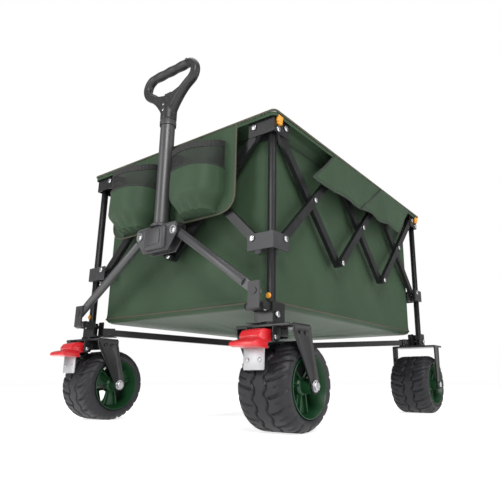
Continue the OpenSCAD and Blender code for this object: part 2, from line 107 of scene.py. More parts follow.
def nothing_chosen():
    if bpy.context.mode != "OBJECT":
        bpy.ops.object.mode_set(mode="OBJECT")
    bpy.ops.object.select_all(action="DESELECT")


def choose(*pieces):
    nothing_chosen()
    for piece in pieces:
        piece.select_set(True)
    bpy.context.view_layer.objects.active = pieces[0]


def named(name):
    piece = bpy.context.object
    piece.name = name
    piece.data.name = name
    return piece


def settle(piece):
    """Puts the piece's place into its mesh."""
    choose(piece)
    bpy.ops.object.transform_apply(location=True, rotation=True, scale=True)
    return piece


def finish_with(piece, kind, **values):
    """Adds a modifier and applies it."""
    modifier = piece.modifiers.new(kind.title(), kind)
    for key, value in values.items():
        setattr(modifier, key, value)
    choose(piece)
    bpy.ops.object.modifier_apply(modifier=modifier.name)
    return piece


def bevelled(piece, width, segments=2, angle=35):
    return finish_with(piece, "BEVEL", width=width, segments=segments, limit_method="ANGLE",
                       angle_limit=math.radians(angle), use_clamp_overlap=True)


def smoothed(piece, angle=35):
    choose(piece)
    bpy.ops.object.shade_smooth_by_angle(angle=math.radians(angle))
    return piece


def edit_all(piece):
    choose(piece)
    bpy.ops.object.mode_set(mode="EDIT")
    bpy.ops.mesh.select_all(action="SELECT")


def close_edit():
    bpy.ops.object.mode_set(mode="OBJECT")


def outline(name, points, fill="NOTHING"):
    """A closed outline through the points."""
    nothing_chosen()
    bpy.ops.mesh.primitive_circle_add(vertices=len(points), radius=1, fill_type=fill)
    piece = named(name)
    for vertex, point in zip(piece.data.vertices, points):
        vertex.co = point
    return piece


def slab(name, points, push, bevel=0.0, segments=2):
    """An outline pushed out to a solid, with its edges eased."""
    piece = outline(name, points, "NGON")
    edit_all(piece)
    bpy.ops.mesh.extrude_region_move(TRANSFORM_OT_translate={"value": push})
    bpy.ops.mesh.select_all(action="SELECT")
    bpy.ops.mesh.normals_make_consistent(inside=False)
    close_edit()
    if bevel:
        bevelled(piece, bevel, segments)
    return piece


def block(name, low, high, bevel=0.001, segments=2):
    """A block between two corners, with its edges eased."""
    nothing_chosen()
    low, high = Vector(low), Vector(high)
    bpy.ops.mesh.primitive_cube_add(size=1, location=(low + high) / 2, scale=high - low)
    piece = settle(named(name))
    return bevelled(piece, bevel, segments)


def sink_faces(piece, chosen, border, push):
    """Insets the chosen faces by a border and moves their middles."""
    choose(piece)
    bpy.ops.object.mode_set(mode="EDIT")
    bpy.ops.mesh.select_mode(type="FACE")
    bpy.ops.mesh.select_all(action="DESELECT")
    close_edit()
    for face in piece.data.polygons:
        face.select = chosen(face)
    bpy.ops.object.mode_set(mode="EDIT")
    bpy.ops.mesh.inset(thickness=border)
    bpy.ops.transform.translate(value=push)
    close_edit()


def turned(name, points, axis, centre, steps):
    """A closed outline of (radius, along) points turned round an axis, X, Y or Z."""
    centre = Vector(centre)
    along = Vector({"X": (1, 0, 0), "Y": (0, 1, 0), "Z": (0, 0, 1)}[axis])
    out = Vector({"X": (0, 0, 1), "Y": (1, 0, 0), "Z": (1, 0, 0)}[axis])
    piece = outline(name, [centre + out * r + along * a for r, a in points])
    edit_all(piece)
    bpy.ops.mesh.spin(steps=steps, angle=2 * math.pi, center=centre, axis=along)
    bpy.ops.mesh.select_all(action="SELECT")
    bpy.ops.mesh.remove_doubles(threshold=0.00001)
    bpy.ops.mesh.select_all(action="SELECT")
    bpy.ops.mesh.normals_make_consistent(inside=False)
    close_edit()
    return piece


def bolt(name, radius, height, axis, centre, steps=24):
    """A domed bolt or rivet head that stands on its centre, towards the axis' sign."""
    way = -1 if axis[0] == "-" else 1
    points = [(0, 0), (radius, 0), (radius, 0.35 * height), (0.92 * radius, 0.62 * height),
              (0.7 * radius, 0.86 * height), (0.4 * radius, 0.97 * height), (0, height)]
    return smoothed(turned(name, [(r, way * a) for r, a in points], axis[-1], centre, steps), 50)


def joined(name, pieces):
    choose(*pieces)
    if len(pieces) > 1:
        bpy.ops.object.join()
    return named(name)


def copied(piece, name, move=(0, 0, 0), scale=(1, 1, 1)):
    """A copy with its own mesh, mirrored or moved about the origin."""
    choose(piece)
    bpy.ops.object.duplicate()
    other = named(name)
    other.scale = scale
    other.location = move
    settle(other)
    if scale[0] * scale[1] * scale[2] < 0:
        edit_all(other)
        bpy.ops.mesh.flip_normals()
        close_edit()
    return other


def rounded_curve(name, points, radius, sides):
    """A curve through the points with a round section, and its points."""
    curve = bpy.data.curves.new(name, "CURVE")
    curve.dimensions, curve.bevel_depth, curve.bevel_resolution = "3D", radius, sides
    curve.use_fill_caps = True
    spline = curve.splines.new("POLY")
    spline.points.add(len(points) - 1)
    for target, point in zip(spline.points, points):
        target.co = (*point, 1)
    return curve, spline.points


def meshed(name, curve):
    piece = bpy.data.objects.new(name, curve)
    bpy.context.collection.objects.link(piece)
    choose(piece)
    bpy.ops.object.convert(target="MESH")
    return named(name)


def tube(name, points, radius, sides=3):
    """A round tape or piping along the points."""
    curve, _ = rounded_curve(name, points, radius, sides)
    return smoothed(meshed(name, curve), 60)


def sheet(name, columns, rows, place, size, thick, outward):
    """A sheet of cloth: a grid laid out by place(across, up), with its own thread map in metres."""
    nothing_chosen()
    bpy.ops.mesh.primitive_grid_add(x_subdivisions=columns, y_subdivisions=rows, size=2, calc_uvs=True)
    piece = named(name)
    for vertex in piece.data.vertices:
        vertex.co = place((vertex.co.x + 1) / 2, (vertex.co.y + 1) / 2)
    for loop in piece.data.uv_layers.active.data:
        loop.uv = (loop.uv[0] * size[0], loop.uv[1] * size[1])
    piece.data.update()
    facing = sum((p.normal * p.area for p in piece.data.polygons), Vector())
    if facing.dot(Vector(outward)) < 0:
        edit_all(piece)
        bpy.ops.mesh.flip_normals()
        close_edit()
    if thick:
        finish_with(piece, "SOLIDIFY", thickness=thick, offset=0)
    return smoothed(piece, 60)


def painted(piece, *materials):
    piece.data.materials.clear()
    for material in materials:
        piece.data.materials.append(material)
    return piece


def fitted(piece, body, slot, *nodes):
    """Rides a piece on its body, in place of its nodes. The slot is not used."""
    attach(piece, body)
    for name in nodes:
        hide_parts(name)
    return piece


def mixed(a, b, t):
    return a + (b - a) * t


def eased(t):
    t = min(max(t, 0.0), 1.0)
    return t * t * (3 - 2 * t)


# ---------------------------------------------------------------- materials


SURFACE_OUTPUTS = [("Color", "NodeSocketColor"), ("Roughness", "NodeSocketFloat"),
                   ("Normal", "NodeSocketVector")]


def new_group(name, inputs, outputs):
    tree = bpy.data.node_groups.new(name, "ShaderNodeTree")
    for label, kind, value in inputs:
        socket = tree.interface.new_socket(name=label, in_out="INPUT", socket_type=kind)
        if value is not None:
            socket.default_value = value
    for label, kind in outputs:
        tree.interface.new_socket(name=label, in_out="OUTPUT", socket_type=kind)
    return tree, tree.nodes.new("NodeGroupInput"), tree.nodes.new("NodeGroupOutput")


def node(tree, kind, links=(), **values):
    """Adds a node; values set its fields, links set or join its sockets."""
    made = tree.nodes.new(kind)
    for key, value in values.items():
        setattr(made, key, value)
    for key, value in dict(links).items():
        if isinstance(value, bpy.types.NodeSocket):
            tree.links.new(value, made.inputs[key])
        else:
            made.inputs[key].default_value = value
    return made


def maths(tree, operation, a, b=0.0, clamp=False):
    return node(tree, "ShaderNodeMath", {0: a, 1: b}, operation=operation, use_clamp=clamp).outputs[0]


def close_group(tree, end, colour, rough, bump):
    for label, socket in (("Color", colour.outputs[2]), ("Roughness", rough), ("Normal", bump.outputs[0])):
        tree.links.new(socket, end.inputs[label])
    return tree


def grain_group():
    """Fine grain of a coat or moulding: colour, roughness and normal."""
    tree, start, end = new_group("Fine grain", [
        ("Vector", "NodeSocketVector", None), ("Scale", "NodeSocketFloat", 900.0),
        ("Colour", "NodeSocketColor", None), ("Worn colour", "NodeSocketColor", None),
        ("Wear", "NodeSocketFloat", 0.2), ("Roughness", "NodeSocketFloat", 0.5),
        ("Spread", "NodeSocketFloat", 0.12), ("Depth", "NodeSocketFloat", 0.1)],
        SURFACE_OUTPUTS)
    put = start.outputs
    fine = node(tree, "ShaderNodeTexNoise", {"Vector": put["Vector"], "Scale": put["Scale"],
                                             "Detail": 3.0, "Roughness": 0.6})
    cloud = node(tree, "ShaderNodeTexNoise", {"Vector": put["Vector"], "Scale": 22.0,
                                              "Detail": 5.0, "Roughness": 0.62})
    worn = node(tree, "ShaderNodeMapRange", {"Value": cloud.outputs[0], "From Min": 0.46, "From Max": 0.72})
    mask = maths(tree, "MULTIPLY", worn.outputs[0], put["Wear"], clamp=True)
    colour = node(tree, "ShaderNodeMix", {0: mask, 6: put["Colour"], 7: put["Worn colour"]}, data_type="RGBA")
    shift = maths(tree, "MULTIPLY", maths(tree, "SUBTRACT", cloud.outputs[0], 0.5), put["Spread"])
    speck = maths(tree, "MULTIPLY", maths(tree, "SUBTRACT", fine.outputs[0], 0.5), 0.12)
    rough = maths(tree, "ADD", maths(tree, "ADD", put["Roughness"], shift), speck, clamp=True)
    bump = node(tree, "ShaderNodeBump", {"Strength": put["Depth"], "Distance": 0.0004, "Height": fine.outputs[0]})
    return close_group(tree, end, colour, rough, bump)


def weave_group():
    """Plain weave on a thread map in metres: colour, roughness and normal."""
    tree, start, end = new_group("Plain weave", [
        ("Map", "NodeSocketVector", None), ("Place", "NodeSocketVector", None),
        ("Pitch", "NodeSocketFloat", 0.001), ("Colour", "NodeSocketColor", None),
        ("Faded and thread-lit colour", "NodeSocketColor", None), ("Roughness", "NodeSocketFloat", 0.5),
        ("Depth", "NodeSocketFloat", 0.4)],
        SURFACE_OUTPUTS)
    put = start.outputs
    split = node(tree, "ShaderNodeSeparateXYZ", {0: put["Map"]})
    turn = maths(tree, "DIVIDE", math.pi, put["Pitch"])
    warp = maths(tree, "SINE", maths(tree, "MULTIPLY", split.outputs[0], turn))
    weft = maths(tree, "SINE", maths(tree, "MULTIPLY", split.outputs[1], turn))
    over = maths(tree, "MULTIPLY", warp, weft)
    height = maths(tree, "MULTIPLY", maths(tree, "ADD", over, 1.0), 0.5)
    cloud = node(tree, "ShaderNodeTexNoise", {"Vector": put["Place"], "Scale": 9.0,
                                              "Detail": 6.0, "Roughness": 0.6})
    slub = node(tree, "ShaderNodeTexNoise", {"Vector": put["Map"], "Scale": 420.0, "Detail": 2.0})
    fade = node(tree, "ShaderNodeMapRange", {"Value": cloud.outputs[0], "From Min": 0.35, "From Max": 0.75})
    # Mix towards the second colour: random faded patches from the cloud, plus painted highlight on the raised threads
    # and painted shade between them from the weave height.
    shade = maths(tree, "ADD", maths(tree, "MULTIPLY", fade.outputs[0], 0.7),
                  maths(tree, "MULTIPLY", maths(tree, "ADD", height, slub.outputs[0]), 0.22), clamp=True)
    colour = node(tree, "ShaderNodeMix", {0: shade, 6: put["Colour"], 7: put["Faded and thread-lit colour"]},
                  data_type="RGBA")
    rough = maths(tree, "ADD", put["Roughness"],
                  maths(tree, "MULTIPLY", maths(tree, "SUBTRACT", slub.outputs[0], 0.5), 0.2), clamp=True)
    bump = node(tree, "ShaderNodeBump", {"Strength": put["Depth"], "Distance": 0.00025, "Height": height})
    return close_group(tree, end, colour, rough, bump)


def shader_of(material, **values):
    shader = material.node_tree.nodes["Principled BSDF"]
    for key, value in values.items():
        shader.inputs[key.replace("_", " ")].default_value = value
    return shader


def surface(name, colour, group, sockets, places, values):
    """A material whose colour, roughness and normal come from a node group."""
    material = bpy.data.materials.new(name)
    material.use_nodes = True
    tree = material.node_tree
    shader = shader_of(material, **values)
    place = node(tree, "ShaderNodeTexCoord")
    links = {label: place.outputs[output] for label, output in places.items()}
    made = node(tree, "ShaderNodeGroup", {**sockets, **links}, node_tree=group)
    for output, label in (("Color", "Base Color"), ("Roughness", "Roughness"), ("Normal", "Normal")):
        tree.links.new(made.outputs[output], shader.inputs[label])
    material.diffuse_color = (*colour, 1)
    return material


def coat(name, colour, worn, wear, rough, scale=900.0, depth=0.1, spread=0.12, **values):
    """A coated, moulded or bare surface with fine grain."""
    group = bpy.data.node_groups.get("Fine grain") or grain_group()
    return bpy.data.materials.get(name) or surface(name, colour, group, {
        "Scale": scale, "Colour": (*colour, 1), "Worn colour": (*worn, 1), "Wear": wear, "Roughness": rough,
        "Spread": spread, "Depth": depth}, {"Vector": "Object"}, values)


def cloth(name, colour, faded_and_thread_lit, rough=0.5, depth=0.35, **values):
    """Woven cloth on the piece's own thread map."""
    group = bpy.data.node_groups.get("Plain weave") or weave_group()
    return bpy.data.materials.get(name) or surface(name, colour, group, {
        "Pitch": bpy.context.scene.cart_sizes.thread, "Colour": (*colour, 1), "Faded and thread-lit colour": (*faded_and_thread_lit, 1),
        "Roughness": rough, "Depth": depth}, {"Map": "UV", "Place": "Object"}, values)


def brighter(colour, times, add=0.0):
    return tuple(min(1.0, c * times + add) for c in colour)


def finish(name):
    """The cart's own finishes by name, made when first asked for."""
    c = bpy.context.scene.cart_colours
    if name == "cloth":
        # The second colour is both the random faded tone and the painted highlight of the raised threads.
        return cloth("Cart cloth", c.cloth, brighter(c.cloth, 1.30, 0.002), rough=0.50,
                     Specular_IOR_Level=0.15,
                     Sheen_Weight=0.03, Sheen_Roughness=0.4)
    coats = {
        "frame coat": ("Frame coat", c.steel, brighter(c.steel, 1.7, 0.004), 0.5, 0.34,
                       dict(depth=0.08, Specular_IOR_Level=0.35, Coat_Weight=0.08)),
        "bracket coat": ("Bracket coat", c.bracket, brighter(c.bracket, 1.5, 0.004), 0.5, 0.42,
                         dict(depth=0.10, Specular_IOR_Level=0.35)),
        "tube coat": ("Tube coat", (0.036, 0.036, 0.038), (0.05, 0.05, 0.052), 0.5, 0.40,
                      dict(depth=0.06, Specular_IOR_Level=0.6)),
        "bright steel": ("Bright steel", (0.46, 0.46, 0.47), (0.30, 0.30, 0.31), 0.5, 0.30,
                         dict(depth=0.04, Metallic=1.0)),
        "brushed plate": ("Brushed plate", (0.40, 0.40, 0.41), (0.28, 0.28, 0.29), 0.6, 0.44,
                          dict(scale=500, depth=0.12, Metallic=1.0)),
        "hub plastic": ("Hub plastic", (0.030, 0.030, 0.032), (0.05, 0.05, 0.052), 0.4, 0.48,
                        dict(scale=1400, depth=0.16)),
        "grip plastic": ("Grip plastic", (0.016, 0.016, 0.017), (0.028, 0.028, 0.03), 0.4, 0.44,
                         dict(scale=1600, depth=0.04, Specular_IOR_Level=0.35)),
        "rubber": ("Tyre rubber", c.rubber, brighter(c.rubber, 1.7, 0.004), 0.7, 0.50,
                   dict(scale=700, depth=0.22, spread=0.25, Specular_IOR_Level=0.3)),
        "rim": ("Rim moulding", c.rim, brighter(c.rim, 1.35), 0.5, 0.40,
                dict(scale=1200, depth=0.10, Specular_IOR_Level=0.35)),
        "pedal": ("Pedal moulding", c.pedal, brighter(c.pedal, 1.15, 0.01), 0.5, 0.36,
                  dict(scale=1200, depth=0.08, Coat_Weight=0.2)),
        "clip": ("Clip moulding", c.clip, brighter(c.clip, 0.85), 0.5, 0.42, dict(scale=1200, depth=0.08)),
        "piping": ("Piping", c.piping, brighter(c.piping, 1.5), 0.6, 0.62, dict(scale=1500, depth=0.35)),
        "tape": ("Binding tape", c.binding, brighter(c.binding, 2.0, 0.004), 0.5, 0.75,
                 dict(scale=1500, depth=0.4)),
    }
    *values, more = coats[name]
    return coat(*values, **more)


# ---------------------------------------------------------------- stage


def studio_light(name, place, aim, size, power):
    lamp = bpy.data.lights.new(name, "AREA")
    lamp.shape = "RECTANGLE"
    lamp.size, lamp.size_y, lamp.energy = size[0], size[1], power
    holder = bpy.data.objects.new(name, lamp)
    bpy.context.collection.objects.link(holder)
    holder.location = place
    holder.rotation_euler = (Vector(aim) - Vector(place)).to_track_quat("-Z", "Y").to_euler()
    return holder


class BuildStage(bpy.types.Operator):
    """Pale floor, soft studio light and the camera"""

    bl_idname = "cart.build_stage"
    bl_label = "Stage"

    def execute(self, context):
        nothing_chosen()
        bpy.ops.mesh.primitive_plane_add(size=60, location=(0, 0, 0))
        floor = settle(named("studio_floor"))
        ground = bpy.data.materials.new("Studio floor")
        ground.use_nodes = True
        shader_of(ground, Base_Color=(0.86, 0.86, 0.86, 1), Roughness=0.8, Emission_Color=(1, 1, 1, 1),
                  Emission_Strength=0.72)
        painted(floor, ground)
        world = bpy.data.worlds.new("Studio")
        world.use_nodes = True
        sky = world.node_tree
        seen = node(sky, "ShaderNodeLightPath")
        strength = node(sky, "ShaderNodeMapRange", {"Value": seen.outputs["Is Camera Ray"], "To Min": 0.30,
                                                    "To Max": 1.0})
        sky.nodes["Background"].inputs[0].default_value = (1, 1, 1, 1)
        sky.links.new(strength.outputs[0], sky.nodes["Background"].inputs[1])
        context.scene.world = world
        studio_light("key", (-2.4, -2.2, 2.2), (0, 0, 0.3), (1.2, 1.2), 95)
        studio_light("front", (-2.8, 1.2, 1.0), (0, 0, 0.35), (0.8, 1.8), 34)
        studio_light("side", (0.9, -2.8, 1.0), (0, 0, 0.35), (0.7, 1.8), 26)
        studio_light("top", (0.2, 0.4, 3.2), (0, 0, 0), (2.4, 2.0), 60)
        context.scene.view_settings.view_transform = "Standard"
        data = bpy.data.cameras.new("camera")
        data.sensor_width = 36
        data.lens = 483.59 / 500 * 36
        data.shift_x = -(286.0 - 250) / 500
        data.shift_y = (255.4 - 250) / 500
        data.clip_start, data.clip_end = 0.02, 100
        camera = bpy.data.objects.new("camera", data)
        context.collection.objects.link(camera)
        yaw, pitch = math.radians(34.803), math.radians(14.572)
        camera.location = (-1.0486, -0.7822, 0.0875)
        look = Vector((math.cos(pitch) * math.cos(yaw), math.cos(pitch) * math.sin(yaw), math.sin(pitch)))
        camera.rotation_euler = look.to_track_quat("-Z", "Y").to_euler()
        context.scene.camera = camera
        return {"FINISHED"}


# ---------------------------------------------------------------- frame


def finish_of_node(name):
    if name.startswith(("collar", "foot_plate")):
        return "bracket coat"
    if name == "handle_inner_tube":
        return "bright steel"
    if name == "handle_outer_tube" or name.startswith("strut"):
        return "tube coat"
    if name in ("handle_hub", "handle_grip", "grip_button"):
        return "hub plastic"
    return "frame coat"


class FinishFrame(bpy.types.Operator):
    """Powder coats, eased edges and the bright rivet heads of the steel frame"""

    bl_idname = "cart.finish_frame"
    bl_label = "Frame finishes"

    def rivets(self):
        """Heads on every crossing and pivot, joined into one piece for each body."""
        head = painted(bolt("rivet_model", 0.0063, 0.0022, "-Y", (0, 0, 0)), finish("bright steel"))
        heads = {}
        on_link, on_crossing, on_bracket = 0.0118, 0.0120, 0.0148

        def rivet(body, x, y, z, out, reach):
            """A head on a body, reach outwards from the frame plane."""
            turn = math.pi / 2 * out[0] if out[0] else (0 if out[1] < 0 else math.pi)
            made = copied(head, "rivet")
            made.rotation_euler = (0, 0, turn)
            settle(made)
            made.location = (x + out[0] * reach, y + out[1] * reach, z)
            heads.setdefault(body, []).append(settle(made))

        middle = (TOP_Z + LOW_Z) / 2
        for side, sy in SIDES:
            y, out = sy * POST_Y, (0, sy)
            at = [FRONT_X + REACH_X + CELL * i / 2 for i in range(7)]
            for i in (1, 2, 3):
                rivet(f"side_{side}_down_{i}", at[2 * i - 1], y, middle, out, on_crossing)
            for i, j, z in ((1, 2, TOP_Z), (2, 4, TOP_Z), (2, 2, LOW_Z), (3, 4, LOW_Z)):
                rivet(f"side_{side}_up_{i}", at[j], y, z, out, on_link)
            for end, x, pivot in (("front", FRONT_X, at[0]), ("rear", REAR_X, at[6])):
                for rivet_x, z in ((pivot, TOP_Z), (x, 0.566), (x, 0.202)):
                    rivet(f"post_{end}_{side}", rivet_x, y, z, out, on_bracket)
                rivet(f"collar_{end}_{side}", pivot, y, LOW_Z, out, on_bracket)
        for end, x, sx in ENDS:
            out = (sx, 0)
            at = [-POST_Y + REACH_Y + CELL * i / 2 for i in range(5)]
            for link, j, z, reach in (("down_1", 1, middle, on_crossing), ("down_2", 3, middle, on_crossing),
                                      ("up_1", 2, TOP_Z, on_link), ("up_2", 2, LOW_Z, on_link)):
                rivet(f"{end}_{link}", x, at[j], z, out, reach)
            for side, sy, y in (("right", -1, at[0]), ("left", 1, at[4])):
                rivet(f"post_{end}_{side}", x, y, TOP_Z, out, on_bracket)
                rivet(f"collar_{end}_{side}", x, y, LOW_Z, out, on_bracket)
                rivet(f"post_{end}_{side}", x, sy * POST_Y, 0.214, out, on_bracket)
        bpy.data.objects.remove(head)
        for body, group in heads.items():
            fitted(joined(f"rivets_{body}", group), body, "grey_metal")

    def execute(self, context):
        for name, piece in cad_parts.items():
            material = finish(finish_of_node(name))
            if piece.material_slots:
                for held in piece.material_slots:
                    held.material = material
            else:
                piece.data.materials.append(material)
            if name.startswith(("side_", "front_", "rear_", "post_", "collar_", "arm_", "floor_hub", "fork_",
                                "foot_plate", "strut")) and "flap" not in name:
                weld = piece.modifiers.new("Weld", "WELD")
                weld.merge_threshold = 0.00002
                ease = piece.modifiers.new("Eased edges", "BEVEL")
                ease.width, ease.segments = 0.0009, 2
                ease.limit_method, ease.angle_limit = "ANGLE", math.radians(40)
        self.rivets()
        for end, x, sx in ENDS:
            for side, sy in SIDES:
                y = sy * (POST_Y + 0.013)
                ends = sorted((y, y + sy * 0.0068))
                near = x + sx * 0.007
                far = x - sx * 0.009
                clip = block("clip", (min(near, far), ends[0], 0.5795), (max(near, far), ends[1], 0.5930),
                             0.0022, 3)
                edit_all(clip)
                bpy.ops.mesh.subdivide(number_cuts=1)
                close_edit()
                for vertex in clip.data.vertices:
                    if vertex.co.z > 0.588:
                        vertex.co.y += sy * 0.0012
                lip = block("clip_lip", (min(near, far) + 0.002, ends[0], 0.5745),
                            (max(near, far) - 0.002, ends[1] - 0.001 * (sy > 0), 0.5805), 0.0015)
                clip = smoothed(painted(joined(f"clip_{end}_{side}", [clip, lip]), finish("clip")))
                fitted(clip, f"post_{end}_{side}", "button")
                snap = bolt(f"snap_{end}_{side}", 0.0055, 0.003, "+X" if sx > 0 else "-X",
                            (x + sx * 0.0078, sy * POST_Y, 0.236), 20)
                fitted(painted(snap, finish("clip")), f"post_{end}_{side}", "button")
        return {"FINISHED"}


# ---------------------------------------------------------------- wheels


def tyre_outline():
    """Closed cross-section of a tyre, as (radius, along) points, dense on the tread."""
    half, bore = WHEEL_W / 2, RIM_R
    crown = []
    for i in range(61):
        a = mixed(-half, half, i / 60)
        t = abs(a) / half
        drop = 0.0006 * t * t + 0.0105 * max(0.0, (t - 0.62) / 0.38) ** 2.3
        crown.append((WHEEL_R - drop, a))
    side_r = [0.0650, 0.0620, 0.0595, 0.0575, 0.0560, 0.0552, 0.0502]
    side_a = [half + 0.0002, half, half - 0.0004, half - 0.0012, half - 0.0026, half - 0.0045, half - 0.0160]
    right = list(zip(side_r, side_a))
    left = [(r, -a) for r, a in reversed(right)]
    inner = [(bore, mixed(half - 0.0170, -half + 0.0170, i / 8)) for i in range(9)]
    return crown + right + inner + left


def tread_cut(turn, along):
    """How deep the tread is cut, from 0 to 1, at an angle round the tyre and a place across it."""
    lugs = 17
    half = WHEEL_W / 2
    step = 2 * math.pi / lugs
    cut = 0.0
    for sign in (-1, 1):
        line = sign * 0.0125 + 0.0030 * math.sin(lugs * turn + (0 if sign > 0 else 1.8))
        cut = max(cut, 1 - eased((abs(along - line) - 0.0013) / 0.0014))
    reach = abs(along) - 0.0185
    if reach > -0.004:
        t = max(0.0, reach) / (half - 0.0185)
        lean = 0.55 * step * (t ** 1.6) - 0.16 * step
        offset = (turn - (0.5 * step if along > 0 else 0.0) + lean) / step
        distance = abs(offset - round(offset)) * step * WHEEL_R
        width = mixed(0.0009, 0.0024, t)
        cut = max(cut, (1 - eased((distance - width) / 0.0018)) * eased((reach + 0.004) / 0.004))
        second = abs(offset + 0.5 - round(offset + 0.5)) * step * WHEEL_R
        if 0.25 < t < 0.85:
            cut = max(cut, 0.55 * (1 - eased((second - 0.0009) / 0.0014)) * eased((t - 0.25) / 0.1)
                      * eased((0.85 - t) / 0.1))
    return cut


class BuildWheels(bpy.types.Operator):
    """Four wide tyres with cut treads on deep three-spoke rims"""

    bl_idname = "cart.build_wheels"
    bl_label = "Wheels"

    def tyre(self, context):
        depth = context.scene.cart_sizes.tread
        piece = turned("tyre_model", tyre_outline(), "Y", (0, 0, 0), 252)
        for vertex in piece.data.vertices:
            radius = math.hypot(vertex.co.x, vertex.co.z)
            if radius < 0.0575:
                continue
            turn = math.atan2(vertex.co.z, vertex.co.x)
            shoulder = eased((abs(vertex.co.y) - 0.036) / 0.018)
            cut = depth * tread_cut(turn, vertex.co.y) * (1 - 0.55 * shoulder)
            if radius > 0.0672:
                scale = (radius - cut) / radius
                vertex.co.x *= scale
                vertex.co.z *= scale
            fade = eased((radius - 0.0625) / 0.006)
            if abs(vertex.co.y) > 0.049:
                vertex.co.y -= math.copysign(0.45 * cut * fade, vertex.co.y)
        return painted(smoothed(piece, 42), finish("rubber"))

    def rim(self, context):
        half, r = WHEEL_W / 2, RIM_R
        wall = [(r - 0.0008, -half + 0.0170), (r + 0.0040, -half + 0.0050), (r + 0.0054, -half + 0.0020),
                (r + 0.0052, -half + 0.0004), (r + 0.0040, -half + 0.0001), (r + 0.0032, -half + 0.0014),
                (r - 0.0014, -half + 0.0160), (r - 0.0028, -half + 0.0220), (r - 0.0046, -half + 0.0270),
                (r - 0.0054, -half + 0.0360)]
        points = wall + [(rad, -a) for rad, a in reversed(wall)]
        barrel = turned("rim_barrel", points, "Y", (0, 0, 0), 72)
        parts = [smoothed(barrel, 40)]
        for sign in (-1, 1):
            face = sign * (half - 0.020)
            for k in range(3):
                angle = math.radians(-90 + 120 * k)
                outer, inner = 0.0470, 0.012
                wide, narrow = math.radians(25), 0.0105
                arc = [(outer * math.cos(angle + wide * s), outer * math.sin(angle + wide * s))
                       for s in (1, 0.5, 0, -0.5, -1)]
                across = Vector((-math.sin(angle), math.cos(angle)))
                out = Vector((math.cos(angle), math.sin(angle)))
                root = [out * inner - across * narrow, out * inner + across * narrow]
                flat = [*root, *[Vector(p) for p in arc]]
                spoke = slab("spoke", [(p[0], face, p[1]) for p in flat], (0, -sign * 0.006, 0), 0.0011)
                parts.append(smoothed(spoke))
                for shift in (-1, 1):
                    a, b = out * 0.013 + across * shift * 0.0062, out * 0.0455 + across * shift * 0.0125
                    wide_by = across * 0.0017
                    rib = [a - wide_by, a + wide_by, b + wide_by, b - wide_by]
                    ridge = slab("rib", [(p[0], face - sign * 0.001, p[1]) for p in rib],
                                 (0, sign * 0.0062, 0),
                                 0.0010)
                    parts.append(smoothed(ridge))
            boss = turned("rim_boss", [(0.0056, face - sign * 0.012), (0.0172, face - sign * 0.012),
                                       (0.0172, face + sign * 0.002), (0.0150, face + sign * 0.0055),
                                       (0.0132, face + sign * 0.0065), (0.0128, sign * (half + 0.0050)),
                                       (0.0108, sign * (half + 0.0056)), (0.0056, sign * (half + 0.0056))],
                          "Y", (0, 0, 0), 40)
            parts.append(smoothed(boss, 30))
        axle = turned("rim_core", [(0.0056, -half + 0.02), (0.013, -half + 0.02), (0.013, half - 0.02),
                                   (0.0056, half - 0.02)], "Y", (0, 0, 0), 32)
        parts.append(smoothed(axle))
        return painted(joined("rim_model", parts), finish("rim"))

    def execute(self, context):
        tyre, rim = self.tyre(context), self.rim(context)
        for end, x in (("front", FRONT_AXLE_X), ("rear", REAR_AXLE_X)):
            for side, sy in SIDES:
                spot = (x, sy * POST_Y, WHEEL_R)
                for model, kind in ((tyre, "tyre"), (rim, "rim")):
                    piece = copied(model, f"{kind}_{end}_{side}_look", spot, (1, -sy, 1))
                    fitted(piece, f"wheel_{end}_{side}", kind, f"{kind}_{end}_{side}")
        bpy.data.objects.remove(tyre)
        bpy.data.objects.remove(rim)
        return {"FINISHED"}


# ---------------------------------------------------------------- forks


def leg_outline(top_x, axle_x, top_half, low_half, top_z, low_z):
    """Side view of a fork leg with a rounded lower end."""
    points = [(top_x - top_half, top_z), (top_x + top_half, top_z), (top_x + top_half, top_z - 0.010)]
    points += [(axle_x + low_half * math.cos(a), low_z + low_half * math.sin(a))
               for a in (math.radians(10 - 20 * k) for k in range(11))]
    points.append((top_x - top_half, top_z - 0.010))
    return points


def fork_leg(name, points, y, thick, sign):
    """A leg with a raised flange round a sunk middle on its outer face."""
    leg = slab(name, [(x, y, z) for x, z in points], (0, sign * thick, 0))
    sink_faces(leg, lambda face: face.normal.y * sign > 0.9, 0.0042, (0, -sign * 0.0018, 0))
    return smoothed(bevelled(leg, 0.0007, 2, 30))


def axle_nut(centre, sign):
    points = [(0, 0.0640), (0.0082, 0.0640), (0.0082, 0.0676), (0.0070, 0.0686), (0, 0.0686)]
    return bevelled(turned("axle_nut", [(r, sign * a) for r, a in points], "Y", centre, 6), 0.0006)


def axle_rod(centre):
    points = [(0, -0.0640), (0.0050, -0.0640), (0.0050, 0.0640), (0, 0.0640)]
    return smoothed(turned("axle_rod", points, "Y", centre, 24))


